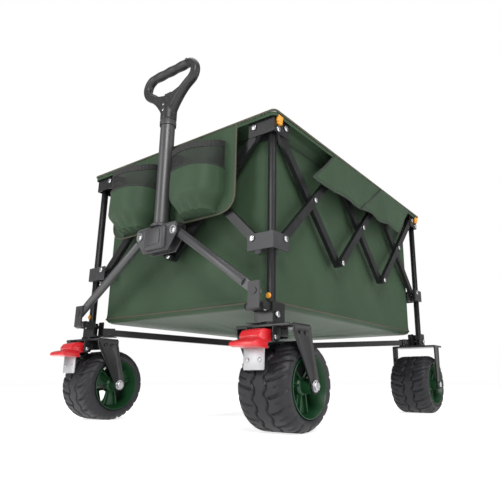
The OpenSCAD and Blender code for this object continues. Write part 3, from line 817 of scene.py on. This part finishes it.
class BuildForks(bpy.types.Operator):
    """Swivelling front forks with their cam housings, and straight rear forks"""

    bl_idname = "cart.build_forks"
    bl_label = "Forks"

    def front(self, side, sy):
        x, y = FRONT_X, sy * POST_Y
        parts = []
        for sign in (-1, 1):
            points = leg_outline(x + 0.006, FRONT_AXLE_X, 0.027, 0.0135, 0.180, WHEEL_R)
            parts.append(fork_leg("leg", points, y + sign * 0.0600, 0.0042, sign))
            for spread, z in ((-0.006, 0.168), (0.010, 0.168)):
                parts.append(bolt("fork_stud", 0.0036, 0.0016, "+Y" if sign > 0 else "-Y",
                                  (x + 0.006 + spread, y + sign * 0.0638, z), 16))
        corners = [(-0.026, -0.058), (-0.020, -0.064), (0.030, -0.064), (0.036, -0.058),
                   (0.036, 0.058), (0.030, 0.064), (-0.020, 0.064), (-0.026, 0.058)]
        plate = slab("fork_bridge", [(x + a, y + b, 0.1775) for a, b in corners], (0, 0, 0.0055), 0.0012)
        parts.append(smoothed(plate))
        stem = turned("fork_stem", [(0, 0.1785), (0.0185, 0.1785), (0.0185, 0.1812), (0.0165, 0.1834),
                                    (0.0050, 0.1836), (0.0050, 0.1868), (0, 0.1868)], "Z", (x, y, 0), 40)
        parts.append(smoothed(stem, 30))
        for sign in (-1, 1):
            lug = [(-0.036, 0.152), (-0.018, 0.152), (-0.012, 0.164), (-0.012, 0.1795), (-0.034, 0.1795)]
            parts.append(smoothed(slab("lug", [(x + a, y + sign * 0.0272, z) for a, z in lug],
                                       (0, sign * 0.003, 0), 0.0008)))
        cam = turned("cam_housing", [(0, -0.0262), (0.0078, -0.0262), (0.0092, -0.0246), (0.0092, 0.0246),
                                     (0.0078, 0.0262), (0, 0.0262)], "Y", (x - 0.020, y, 0.1655), 28)
        parts.append(smoothed(cam, 30))
        parts.append(smoothed(block("brake_housing", (x - 0.0160, y - 0.0240, 0.1600),
                                    (x + 0.0220, y + 0.0240, 0.1780),
                                    0.0030, 3), 50))
        fork = painted(joined(f"fork_front_{side}", parts), finish("frame coat"))
        fitted(fork, f"caster_front_{side}", "black_metal", f"caster_front_{side}")
        bright = []
        for sign, way in ((-1, "-Y"), (1, "+Y")):
            washer = turned("washer", [(0.0050, sign * 0.0624), (0.0105, sign * 0.0624), (0.0105, sign * 0.0642),
                                       (0.0050, sign * 0.0642)], "Y", (FRONT_AXLE_X, y, WHEEL_R), 32)
            bright.append(smoothed(washer, 30))
            bright.append(axle_nut((FRONT_AXLE_X, y, WHEEL_R), sign))
            bright.append(bolt("pedal_pin", 0.0048, 0.0022, way, (x - 0.026, y + sign * 0.0300, 0.160), 20))
        bright.append(axle_rod((FRONT_AXLE_X, y, WHEEL_R)))
        bright.append(smoothed(turned("swivel_ring", [(0.0125, 0.1822), (0.0178, 0.1822), (0.0178, 0.1838),
                                                      (0.0125, 0.1838)], "Z", (x, y, 0), 40), 30))
        bright = painted(joined(f"fork_bolts_front_{side}", bright), finish("bright steel"))
        fitted(bright, f"caster_front_{side}", "grey_metal")

    def rear(self, side, sy):
        y, x = sy * POST_Y, REAR_AXLE_X
        parts = []
        for sign in (-1, 1):
            points = leg_outline(x, x, 0.0165, 0.0140, 0.187, WHEEL_R)
            parts.append(fork_leg("leg", points, y + sign * 0.0600, 0.0042, sign))
        corners = [(-0.0165, -0.058), (-0.0165, 0.058), (-0.013, 0.0635), (0.044, 0.0635), (0.047, 0.058),
                   (0.047, -0.058), (0.044, -0.0635), (-0.013, -0.0635)]
        parts.append(smoothed(slab("rear_bridge", [(x + a, y + b, 0.1828) for a, b in corners],
                                   (0, 0, 0.0050), 0.0012)))
        fork = painted(joined(f"fork_rear_{side}_look", parts), finish("frame coat"))
        fitted(fork, f"post_rear_{side}", "black_metal", f"fork_rear_{side}")
        bright = []
        for sign in (-1, 1):
            bright.append(axle_nut((x, y, WHEEL_R), sign))
        bright.append(axle_rod((x, y, WHEEL_R)))
        bright = painted(joined(f"fork_bolts_rear_{side}", bright), finish("bright steel"))
        fitted(bright, f"post_rear_{side}", "grey_metal")

    def execute(self, context):
        for side, sy in SIDES:
            self.front(side, sy)
            self.rear(side, sy)
        return {"FINISHED"}


class BuildPedals(bpy.types.Operator):
    """Red foot pedals with their bright brake plates"""

    bl_idname = "cart.build_pedals"
    bl_label = "Brake pedals"

    def execute(self, context):
        x = FRONT_X
        for side, sy in SIDES:
            y = sy * POST_Y
            upper = [(-0.019, 0.1690), (-0.030, 0.1730), (-0.046, 0.1730), (-0.0560, 0.1700),
                     (-0.0620, 0.1610),
                     (-0.0600, 0.1540), (-0.0400, 0.1500), (-0.0190, 0.1540)]
            lower = [(-0.0380, 0.1530), (-0.0600, 0.1560), (-0.0740, 0.1530), (-0.0815, 0.1495),
                     (-0.0820, 0.1440),
                     (-0.0740, 0.1420), (-0.0620, 0.1425), (-0.0380, 0.1400)]
            top = slab("pedal_top", [(x + a, y - 0.0215, z) for a, z in upper], (0, 0.043, 0), 0.0012, 2)
            step = slab("pedal_step", [(x + a, y - 0.0225, z) for a, z in lower], (0, 0.045, 0), 0.0010, 2)
            for vertex in step.data.vertices:
                flare = eased((x - 0.050 - vertex.co.x) / 0.032)
                vertex.co.y = y + (vertex.co.y - y) * (1 + 0.17 * flare)
            ribs = [block("pedal_rib", (x - 0.0440, y + b - 0.0013, 0.1718),
                          (x - 0.0320, y + b + 0.0013, 0.1742),
                          0.0006) for b in (-0.014, -0.007, 0.0, 0.007, 0.014)]
            pedal = joined(f"pedal_{side}_look",
                           [smoothed(top), smoothed(step), *[smoothed(r) for r in ribs]])
            fitted(painted(pedal, finish("pedal")), f"pedal_front_{side}", "pedal", f"pedal_front_{side}")
            face = [(-0.022, 0.1440), (0.022, 0.1440), (0.022, 0.1066), (0.0204, 0.1050), (-0.0204, 0.1050),
                    (-0.022, 0.1066)]
            plate = slab("brake_plate", [(x - 0.0485, y + b, z) for b, z in face], (0.003, 0, 0), 0.0007)
            fold = block("brake_fold", (x - 0.0485, y - 0.022, 0.1415), (x - 0.0340, y + 0.022, 0.1445),
                         0.0008)
            bright = [smoothed(plate), smoothed(fold)]
            for b in (-0.013, 0.013):
                bright.append(bolt("plate_rivet", 0.0040, 0.0018, "-X", (x - 0.0483, y + b, 0.1215), 16))
            bright = painted(joined(f"brake_plate_{side}", bright), finish("brushed plate"))
            fitted(bright, f"pedal_front_{side}", "grey_metal")
        return {"FINISHED"}


# ---------------------------------------------------------------- cloth

WALLS = {
    "right": dict(along=(1, 0), out=(0, -1), half=0.3585, reach=0.2525, body="post_front_right",
                  axis=(1, 0, 0),
                  anchor=(FRONT_X, -POST_Y, 0.4), keep=KEEP_X),
    "left": dict(along=(-1, 0), out=(0, 1), half=0.3585, reach=0.2525, body="post_front_left", axis=(1, 0, 0),
                 anchor=(FRONT_X, POST_Y, 0.4), keep=KEEP_X),
    "front": dict(along=(0, -1), out=(-1, 0), half=0.2525, reach=0.3585, body="post_front_right",
                  axis=(0, 1, 0),
                  anchor=(FRONT_X, -POST_Y, 0.4), keep=KEEP_Y),
    "rear": dict(along=(0, 1), out=(1, 0), half=0.2525, reach=0.3585, body="post_rear_right", axis=(0, 1, 0),
                 anchor=(REAR_X, -POST_Y, 0.4), keep=KEEP_Y),
}
CORNER_SHARE = 0.07


def wall_place(side, t, offset, corner):
    """A place on one wall's share of the tub's outline: t from corner to corner, offset outwards."""
    wall = WALLS[side]
    half, reach = wall["half"] + offset, wall["reach"] + offset
    if t < CORNER_SHARE:
        a = math.radians(-135 + 45 * t / CORNER_SHARE)
        along, out = -half + corner + corner * math.cos(a), reach - corner - corner * math.sin(a)
    elif t > 1 - CORNER_SHARE:
        a = math.radians(-90 + 45 * (t - 1 + CORNER_SHARE) / CORNER_SHARE)
        along, out = half - corner + corner * math.cos(a), reach - corner - corner * math.sin(a)
    else:
        s = (t - CORNER_SHARE) / (1 - 2 * CORNER_SHARE)
        along, out = mixed(-half + corner, half - corner, s), reach
    x = MIDDLE_X + wall["along"][0] * along + wall["out"][0] * out
    y = wall["along"][1] * along + wall["out"][1] * out
    return x, y, along


def tension(along, z, seed):
    """Soft creases of a slack wall, from about -1 to 1."""
    warp = noise.noise(Vector((along * 3.1, z * 3.1, seed))) * 0.9
    diagonal = noise.noise(Vector(((along + 0.62 * z) * 17 + warp, (along - z) * 2.2, seed + 3.7)))
    other = noise.noise(Vector(((along - 0.75 * z) * 14 - warp, (along + z) * 2.0, seed + 9.1)))
    broad = noise.noise(Vector((along * 4.5, z * 5.5, seed + 5.5)))
    return 0.45 * diagonal + 0.40 * other + 0.75 * broad


WALL_RISE = [(-0.0140, 0.2222, 26), (-0.0080, 0.2226, 26), (-0.0035, 0.2250, 25), (-0.0012, 0.2290, 24),
             (-0.0006, 0.2350, 24)]
CUFF = [(-0.0010, 0.5880, 22), (0.0008, 0.5945, 20), (0.0040, 0.5972, 18), (0.0100, 0.5978, 14),
        (0.0200, 0.5980, 11), (0.0290, 0.5978, 9), (0.0325, 0.5962, 9), (0.0338, 0.5925, 9),
        (0.0338, 0.5880, 9)]


def wall_rows():
    rows = [(o, z, c / 1000, 0.0) for o, z, c in WALL_RISE]
    steps = 44
    for i in range(1, steps):
        z = mixed(0.235, 0.588, i / steps)
        rows.append((-0.0012, z, 0.024, math.sin(math.pi * i / steps) ** 0.6))
    rows += [(o, z, c / 1000, 0.0) for o, z, c in CUFF]
    return rows


def ride_wall(piece, side):
    wall = WALLS[side]
    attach(piece, wall["body"])
    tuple(wall["axis"])
    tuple(wall["anchor"])
    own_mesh(piece)
    return piece


class BuildTub(bpy.types.Operator):
    """Cloth tub: four slack walls with a turned-over rim, piping, and a floor that hangs to its hub"""

    bl_idname = "cart.build_tub"
    bl_label = "Tub"

    def wall(self, context, side):
        rows, depth = wall_rows(), context.scene.cart_sizes.crease
        columns = 120 if side in ("right", "left") else 88
        seed = {"right": 1.3, "left": 7.9, "front": 4.2, "rear": 11.6}[side]

        def place(u, v):
            offset, z, corner, slack = rows[round(v * (len(rows) - 1))]
            x, y, along = wall_place(side, u, offset, corner)
            hold = eased(min(u, 1 - u) / 0.16)
            push = slack * hold * (depth * tension(along, z, seed) - 0.0034 - 0.0050 * hold)
            seam = math.exp(-abs(z - 0.235) / 0.022) + math.exp(-abs(z - 0.588) / 0.030)
            push += 0.0011 * slack * seam * math.sin(140 * along + 5 * math.sin(23 * along + seed))
            rise = 0.0007 * math.sin(38 * along + seed) if z > 0.597 else 0.0
            out = WALLS[side]["out"]
            return x + out[0] * push, y + out[1] * push, z + rise

        size = (2 * WALLS[side]["half"], 0.42)
        piece = sheet(f"wall_{side}", columns, len(rows) - 1, place, size,
                      context.scene.cart_sizes.cloth_thick, (*WALLS[side]["out"], 0))
        painted(piece, finish("cloth"))
        ride_wall(piece, side)
        return piece

    def trim(self, context, side):
        radius = context.scene.cart_sizes.piping_r
        ts = [i / 60 for i in range(61)]
        rim = [(*wall_place(side, t, 0.0345, 0.009)[:2], 0.5985) for t in ts]
        seam = [(*wall_place(side, t, 0.0002, 0.025)[:2], 0.2315) for t in ts]
        pieces = [tube("piping", rim, radius), tube("piping", seam, radius * 0.85)]
        ride_wall(painted(joined(f"piping_{side}", pieces), finish("piping")), side)
        hem = [(*wall_place(side, t, 0.0020, 0.020)[:2], 0.5740) for t in ts]
        tape = tube("hem", hem, 0.0008)
        ride_wall(painted(joined(f"hem_seam_{side}", [tape]), finish("tape")), side)

    def floor(self, context, end, side):
        """One quarter of the floor, which folds up with its arm."""
        sx, sy = (-1 if end == "front" else 1), (-1 if side == "right" else 1)
        near = {(-1, -1): ("front", "right"), (-1, 1): ("left", "front"), (1, 1): ("rear", "left"),
                (1, -1): ("right", "rear")}[(sx, sy)]
        edge = [wall_place(near[0], mixed(0.5, 1.0, i / 20), -0.0125, 0.026)[:2] for i in range(21)]
        edge += [wall_place(near[1], mixed(0.0, 0.5, i / 20), -0.0125, 0.026)[:2] for i in range(1, 21)]

        def place(u, v):
            x, y = edge[round(u * 40)]
            t = v ** 0.9
            px, py = mixed(x, MIDDLE_X, t), mixed(y, 0.0, t)
            sag = 0.0215 * eased(t * 1.05) + 0.004 * math.sin(math.pi * t) * (
                0.4 + noise.noise(Vector((px * 9, py * 9, 3.3))))
            crease = 0.0016 * noise.noise(Vector((math.atan2(py, px - MIDDLE_X + 0.0001) * 5, t * 2, 8.8)))
            return px, py, 0.2224 - sag + crease * math.sin(math.pi * t)

        size = (0.5, 0.36)
        piece = sheet(f"floor_{end}_{side}", 40, 26, place, size, context.scene.cart_sizes.cloth_thick,
                      (0, 0, -1))
        painted(piece, finish("cloth"))
        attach(piece, f"arm_{end}_{side}")
        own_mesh(piece)
        return piece

    def execute(self, context):
        walls = [self.wall(context, side) for side in WALLS]
        for side in WALLS:
            self.trim(context, side)
        quarters = [self.floor(context, end, side) for end in ("front", "rear") for side in ("right", "left")]
        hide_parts("tub")
        for quarter in quarters:
            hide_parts("tub")
        return {"FINISHED"}


class BuildFlaps(bpy.types.Operator):
    """Two overlapping cloth flaps over the upper pivots of each long side"""

    bl_idname = "cart.build_flaps"
    bl_label = "Side flaps"

    def execute(self, context):
        top, low = 0.5965, 0.502
        x0 = FRONT_X
        spans = (("front", 0.94, 2.10, 0.50, 1.53, 0.0), ("rear", 2.04, 2.94, 1.47, 2.50, 0.0022))
        for side, sy in SIDES:
            for name, a, b, c, d, lift in spans:

                def place(u, v):
                    x = mixed(mixed(x0 + c * CELL, x0 + d * CELL, u), mixed(x0 + a * CELL, x0 + b * CELL, u),
                              v)
                    down = 1 - v
                    wave = 0.0042 * down * (0.6 + noise.noise(Vector((x * 14, v * 2, sy + lift * 900))))
                    swell = 0.0016 * down * math.sin(x * 62 + sy)
                    z = mixed(low, top, v) + 0.0030 * down * math.sin(x * 47 + 1.1 + sy)
                    return x, sy * (0.2862 + lift + max(0.0, wave + swell)), z

                piece = sheet(f"flap_{name}_{side}", 56, 16, place, ((d - c) * CELL, 0.1),
                              context.scene.cart_sizes.cloth_thick, (0, sy, 0))
                painted(piece, finish("cloth"))
                border = [Vector(place(0, v / 10)) for v in range(10, -1, -1)]
                border += [Vector(place(u / 40, 0)) for u in range(1, 41)]
                border += [Vector(place(1, v / 10)) for v in range(1, 11)]
                edge = painted(tube(f"flap_edge_{name}_{side}", border, 0.0013), finish("tape"))
                stitch_row = [Vector(place(0.018,
                                           v / 10)) + Vector((0, sy * 0.0008, 0)) for v in range(10, 0, -1)]
                stitch_row += [Vector(place(u / 40,
                                            0.07)) + Vector((0, sy * 0.0008, 0)) for u in range(1, 40)]
                stitch = painted(tube(f"flap_stitch_{name}_{side}", stitch_row, 0.0005), finish("tape"))
                for part in (piece, edge, stitch):
                    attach(part, f"post_front_{side}")
                    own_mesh(part)
                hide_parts(f"side_flap_{side}")
        return {"FINISHED"}


def mesh_net():
    """Open net of the upper part of a cup pocket."""
    material = bpy.data.materials.get("Pocket net")
    if material:
        return material
    material = bpy.data.materials.new("Pocket net")
    material.use_nodes = True
    tree = material.node_tree
    shader = shader_of(material, Roughness=0.7)
    shader.inputs["Base Color"].default_value = (*bpy.context.scene.cart_colours.binding, 1)
    place = node(tree, "ShaderNodeTexCoord")
    split = node(tree, "ShaderNodeSeparateXYZ", {0: place.outputs["UV"]})
    turn = math.pi / 0.0026
    lines = []
    for operation in ("ADD", "SUBTRACT"):
        slant = maths(tree, operation, split.outputs[0], split.outputs[1])
        lines.append(maths(tree, "ABSOLUTE", maths(tree, "SINE", maths(tree, "MULTIPLY", slant, turn))))
    hole = maths(tree, "MULTIPLY", lines[0], lines[1])
    thread = node(tree, "ShaderNodeMapRange", {"Value": hole, "From Min": 0.54, "From Max": 0.46})
    tree.links.new(thread.outputs[0], shader.inputs["Alpha"])
    bump = node(tree, "ShaderNodeBump", {"Strength": 0.4, "Distance": 0.0003, "Height": thread.outputs[0]})
    tree.links.new(bump.outputs[0], shader.inputs["Normal"])
    return material


class BuildCups(bpy.types.Operator):
    """Front panel with two cup pockets: cloth below, net and elastic above"""

    bl_idname = "cart.build_cups"
    bl_label = "Cup pockets"

    def panel(self, context):
        def place(u, v):
            z = mixed(0.411, 0.5972, v)
            corner = 0.035
            low = max(0.0, corner - (z - 0.411)) / corner
            half = 0.190 - corner * (1 - math.sqrt(max(0.0, 1 - low * low)))
            y = mixed(half, -half, u)
            wave = 0.0010 * noise.noise(Vector((y * 16, z * 14, 2.2)))
            return -0.3742 + wave, y, z

        piece = sheet("pocket_panel", 90, 44, place, (0.38, 0.187), context.scene.cart_sizes.cloth_thick,
                      (-1, 0, 0))
        painted(piece, finish("cloth"))
        border = [Vector(place(0, v / 40)) for v in range(40, -1, -1)]
        border += [Vector(place(u / 30, 0)) for u in range(1, 31)]
        border += [Vector(place(1, v / 40)) for v in range(1, 41)]
        edge = painted(tube("pocket_piping", border, 0.0022), finish("piping"))
        for part in (piece, edge):
            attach(part, "post_front_right")
            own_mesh(part)
        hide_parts("cup_pockets")

    def ring(self, t):
        """A place on the rounded outline of a cup in plan: how far out of the panel, and across it."""
        half, depth, square = 0.062, 0.0575, 0.78
        a = math.pi * t
        across = -math.copysign(half * abs(math.cos(a)) ** square, math.cos(a))
        return depth * max(0.0, math.sin(a)) ** square, across

    def cup(self, context, side, sy):
        wall_x, middle = -0.3752, sy * 0.100
        mouth = lambda out: 0.5650 - 0.012 * eased(out / 0.055)
        split = 0.5060

        def shape(t, level, lower):
            """level runs from the bottom, 0, to the top edge of the cloth or of the net, 1."""
            out, across = self.ring(t)
            if lower:
                z = mixed(0.4175, split, level)
                pull = 1 - eased(level / 0.42)
                pleat = 0.055 * pull * (1 + math.cos(across * 210 + 0.6 * sy))
                bulge = 1 + 0.020 * math.sin(math.pi * min(1.0, level)) + 0.045 * noise.noise(
                    Vector((across * 34, z * 30 + 2 * out,
                            sy * 3.0))) * math.sin(math.pi * min(1.0, level + 0.1))
                out *= (1 - 0.34 * pull - pleat) * bulge
                across *= (1 - 0.30 * pull) * (1 + 0.010 * math.sin(math.pi * level))
            else:
                top = mouth(out)
                z = mixed(split, top, level)
                pinch = 1 - 0.035 * level
                out, across = out * pinch, across * (1 - 0.02 * level)
            return Vector((wall_x - out, middle + across, z))

        thick = context.scene.cart_sizes.cloth_thick
        lower = sheet(f"cup_cloth_{side}", 72, 26, lambda u, v: shape(u, v, True), (0.215, 0.105), thick,
                      (-1, 0, 0))
        rows = 12

        def base(u, v):
            edge = shape(u, 0.0, True)
            back = Vector((wall_x, mixed(middle - 0.05, middle + 0.05, u), 0.4175))
            place = edge.lerp(back, v)
            place.z -= 0.0035 * math.sin(math.pi * v)
            return place

        bottom = sheet("cup_base", 72, rows, base, (0.215, 0.05), thick, (0, 0, -1))
        lower = painted(joined(f"cup_cloth_{side}", [lower, bottom]), finish("cloth"))
        net = sheet(f"cup_net_{side}", 72, 8, lambda u, v: shape(u, v, False), (0.215, 0.04), 0, (-1, 0, 0))
        painted(net, mesh_net())
        lip = [shape(t / 72, 1.0, False) for t in range(73)]
        joint = [shape(t / 72, 1.0, True) + Vector((-0.0006, 0, 0)) for t in range(73)]

        def elastic(u, v):
            edge = shape(u, 1.0, False)
            ruffle = 0.0007 * math.sin(u * 130)
            return edge + Vector((-0.0008 + ruffle, 0, mixed(-0.0125, 0.0010, v)))

        bands = [sheet("elastic", 150, 4, elastic, (0.215, 0.013), 0.0022, (-1, 0, 0)),
                 tube("lip", lip, 0.0016)]
        bands.append(tube("joint_tape", joint, 0.0020))
        for edge_t in (0.0, 1.0):
            foot, head = shape(edge_t, 0.0, True), shape(edge_t, 1.0, False)
            bands.append(tube("side_tape", [foot.lerp(head, k / 8) for k in range(9)], 0.0018))
        band = painted(joined(f"cup_elastic_{side}", bands), finish("tape"))
        for part in (lower, net, band):
            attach(part, f"post_front_{side}")
            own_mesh(part)

    def execute(self, context):
        self.panel(context)
        for side, sy in SIDES:
            self.cup(context, side, sy)
        return {"FINISHED"}


# ---------------------------------------------------------------- handle


class BuildHandle(bpy.types.Operator):
    """Yoke housing, tube collar and D grip with its button"""

    bl_idname = "cart.build_handle"
    bl_label = "Handle"

    def hub(self, context):
        x, low, high, z = HANDLE_X, 0.348, 0.407, 0.389
        six = [(-0.063, z + 0.012), (-0.057, high), (0.057, high), (0.063, z + 0.012), (0.063, z - 0.006),
               (0.038, low), (-0.038, low), (-0.063, z - 0.006)]
        parts = []
        for face, push in ((x - 0.0125, 0.0027), (x + 0.0098, 0.0027)):
            shell = slab("hub_shell", [(face, a, b) for a, b in six], (push, 0, 0), 0.0011)
            sink_faces(shell, lambda face: face.normal.x < -0.95 and face.area > 0.002, 0.0050,
                       (0.0012, 0, 0))
            parts.append(smoothed(shell))
        parts.append(smoothed(block("hub_roof", (x - 0.012, -0.0585, z + 0.0085),
                                    (x + 0.012, 0.0585, high - 0.001),
                                    0.0028, 3)))
        parts.append(smoothed(block("hub_boss", (x - 0.0195, -0.031, z - 0.036),
                                    (x + 0.0175, 0.031, z + 0.0150),
                                    0.0075, 4), 50))
        parts.append(smoothed(block("hub_badge", (x - 0.0212, -0.020, z - 0.026),
                                    (x - 0.0185, 0.020, z + 0.006),
                                    0.0012, 2)))
        ring = turned("hub_ring", [(0.0164, high - 0.003), (0.0225, high - 0.003), (0.0225, high + 0.0015),
                                   (0.0200, high + 0.0040), (0.0164, high + 0.0040)], "Z", (x, 0, 0), 48)
        parts.append(smoothed(ring, 30))
        hub = painted(joined("hub_look", parts), finish("hub plastic"))
        fitted(hub, "handle_hub", "grip_plastic", "handle_hub")
        bright = []
        for sign in (-1, 1):
            spot = (x - 0.0112, sign * 0.052, z)
            ringed = turned("ring", [(0.0066, -0.0006), (0.0094, -0.0006), (0.0094, -0.0022),
                                     (0.0066, -0.0022)], "X",
                            spot, 28)
            bright += [smoothed(ringed, 30), bolt("yoke_rivet", 0.0062, 0.0028, "-X", spot, 24)]
        bright = painted(joined("hub_rivets", bright), finish("bright steel"))
        fitted(bright, "handle_hub", "grey_metal")

    def grip(self, context):
        x, top, side, middle, arc = HANDLE_X, 0.788, 0.054, 0.763, 0.025
        loop = []
        for sign in (1, -1):
            angles = range(90, -61, -10)
            bend = [(sign * (side + arc * math.cos(math.radians(a))),
                     middle + arc * math.sin(math.radians(a)))
                    for a in angles]
            last, knee, foot = bend[-1], (sign * 0.0300, 0.7220), (sign * 0.0085, 0.6800)
            for k in range(1, 11):
                t = k / 10
                bend.append(tuple(mixed(mixed(p, q, t), mixed(q, r, t), t) for p, q,
                                  r in zip(last, knee, foot)))
            loop.append(bend)
        bar = [(mixed(-side, side, k / 24), top) for k in range(1, 24)]
        path = list(reversed(loop[1])) + bar + loop[0]
        curve, points = rounded_curve("grip", [(x, y, z) for y, z in path], 0.0104, 8)
        for target, (y, z) in zip(points, path):
            if abs(z - top) < 0.001:
                target.radius = 1.03 + 0.05 * math.cos(2 * math.pi * y / 0.036)
            else:
                target.radius = 1.06 + 0.10 * eased((0.735 - z) / 0.03)
        body = meshed("grip_body", curve)
        stem = turned("grip_stem", [(0, 0.6565), (0.0176, 0.6565), (0.0184, 0.6600), (0.0184, 0.6850), (0.0175, 0.7000),
                                    (0.0140, 0.7120), (0, 0.7150)], "Z", (x, 0, 0), 48)
        web = slab("grip_web", [(x - 0.0110, y, z) for y, z in (
            (-0.048, 0.7330), (-0.034, 0.7120), (-0.022, 0.6850), (0.022, 0.6850), (0.034, 0.7120),
            (0.048, 0.7330),
            (0.026, 0.7280), (0.010, 0.7240), (-0.010, 0.7240), (-0.026, 0.7280))], (0.022, 0, 0), 0.004)
        grip = joined("grip_look", [body, stem, web])
        finish_with(grip, "REMESH", mode="VOXEL", voxel_size=0.0014)
        finish_with(grip, "SMOOTH", factor=0.5, iterations=30)
        painted(smoothed(grip, 60), finish("grip plastic"))
        fitted(grip, "handle_slider", "grip_plastic", "handle_grip")
        screws = [bolt("grip_screw", 0.0030, 0.0012, "-X", (x - 0.0178, y, 0.6790 + dz), 16)
                  for y, dz in ((0.0, 0.0), (0.0, 0.014))]
        screws = painted(joined("grip_screws", screws), finish("bright steel"))
        fitted(screws, "handle_slider", "grey_metal")
        hole = turned("grip_eye", [(0.0022, -0.0004), (0.0040, -0.0004), (0.0036, -0.0014), (0.0026, -0.0014)], "X",
                      (x - 0.0112, -0.0600, 0.7880), 20)
        painted(smoothed(hole, 30), finish("tape"))
        fitted(hole, "handle_slider", "grip_plastic")
        button = block("button_look", (x - 0.0080, -0.011, 0.7130), (x + 0.0080, 0.011, 0.7282), 0.0020, 3)
        edit_all(button)
        bpy.ops.mesh.subdivide(number_cuts=2)
        close_edit()
        for vertex in button.data.vertices:
            if vertex.co.z > 0.7270:
                vertex.co.z -= 0.0012 * (1 - (vertex.co.y / 0.011) ** 2)
        painted(smoothed(button, 40), finish("hub plastic"))
        fitted(button, "grip_button", "button", "grip_button")

    def collar(self, context):
        x = HANDLE_X
        ring = turned("tube_collar", [(0.0134, 0.6440), (0.0172, 0.6440), (0.0184, 0.6460), (0.0184, 0.6545),
                                      (0.0174, 0.6565), (0.0134, 0.6565)], "Z", (x, 0, 0), 48)
        painted(smoothed(ring, 30), finish("hub plastic"))
        fitted(ring, "handle_hub", "grip_plastic")

    def execute(self, context):
        self.hub(context)
        self.grip(context)
        self.collar(context)
        return {"FINISHED"}


# ---------------------------------------------------------------- add-on


class CartPanel(bpy.types.Panel):
    bl_label = "Beach cart"
    bl_idname = "CART_PT_looks"
    bl_space_type = "VIEW_3D"
    bl_region_type = "UI"
    bl_category = "Beach cart"

    def draw(self, context):
        layout = self.layout
        for settings in (context.scene.cart_colours, context.scene.cart_sizes):
            box = layout.box()
            for name in type(settings).__annotations__:
                box.prop(settings, name)
        for step in STEPS:
            layout.operator(step.bl_idname)


STEPS = (BuildStage, FinishFrame, BuildWheels, BuildForks, BuildPedals, BuildTub, BuildFlaps, BuildCups,
         BuildHandle)
CLASSES = (CartColours, CartSizes, *STEPS, CartPanel)


def register():
    for made in CLASSES:
        bpy.utils.register_class(made)
    bpy.types.Scene.cart_colours = bpy.props.PointerProperty(type=CartColours)
    bpy.types.Scene.cart_sizes = bpy.props.PointerProperty(type=CartSizes)


def unregister():
    del bpy.types.Scene.cart_colours
    del bpy.types.Scene.cart_sizes
    for made in reversed(CLASSES):
        bpy.utils.unregister_class(made)


def main():
    register()
    for step in STEPS:
        group, name = step.bl_idname.split(".")
        getattr(getattr(bpy.ops, group), name)()
    nothing_chosen()


if __name__ == "__main__":
    main()
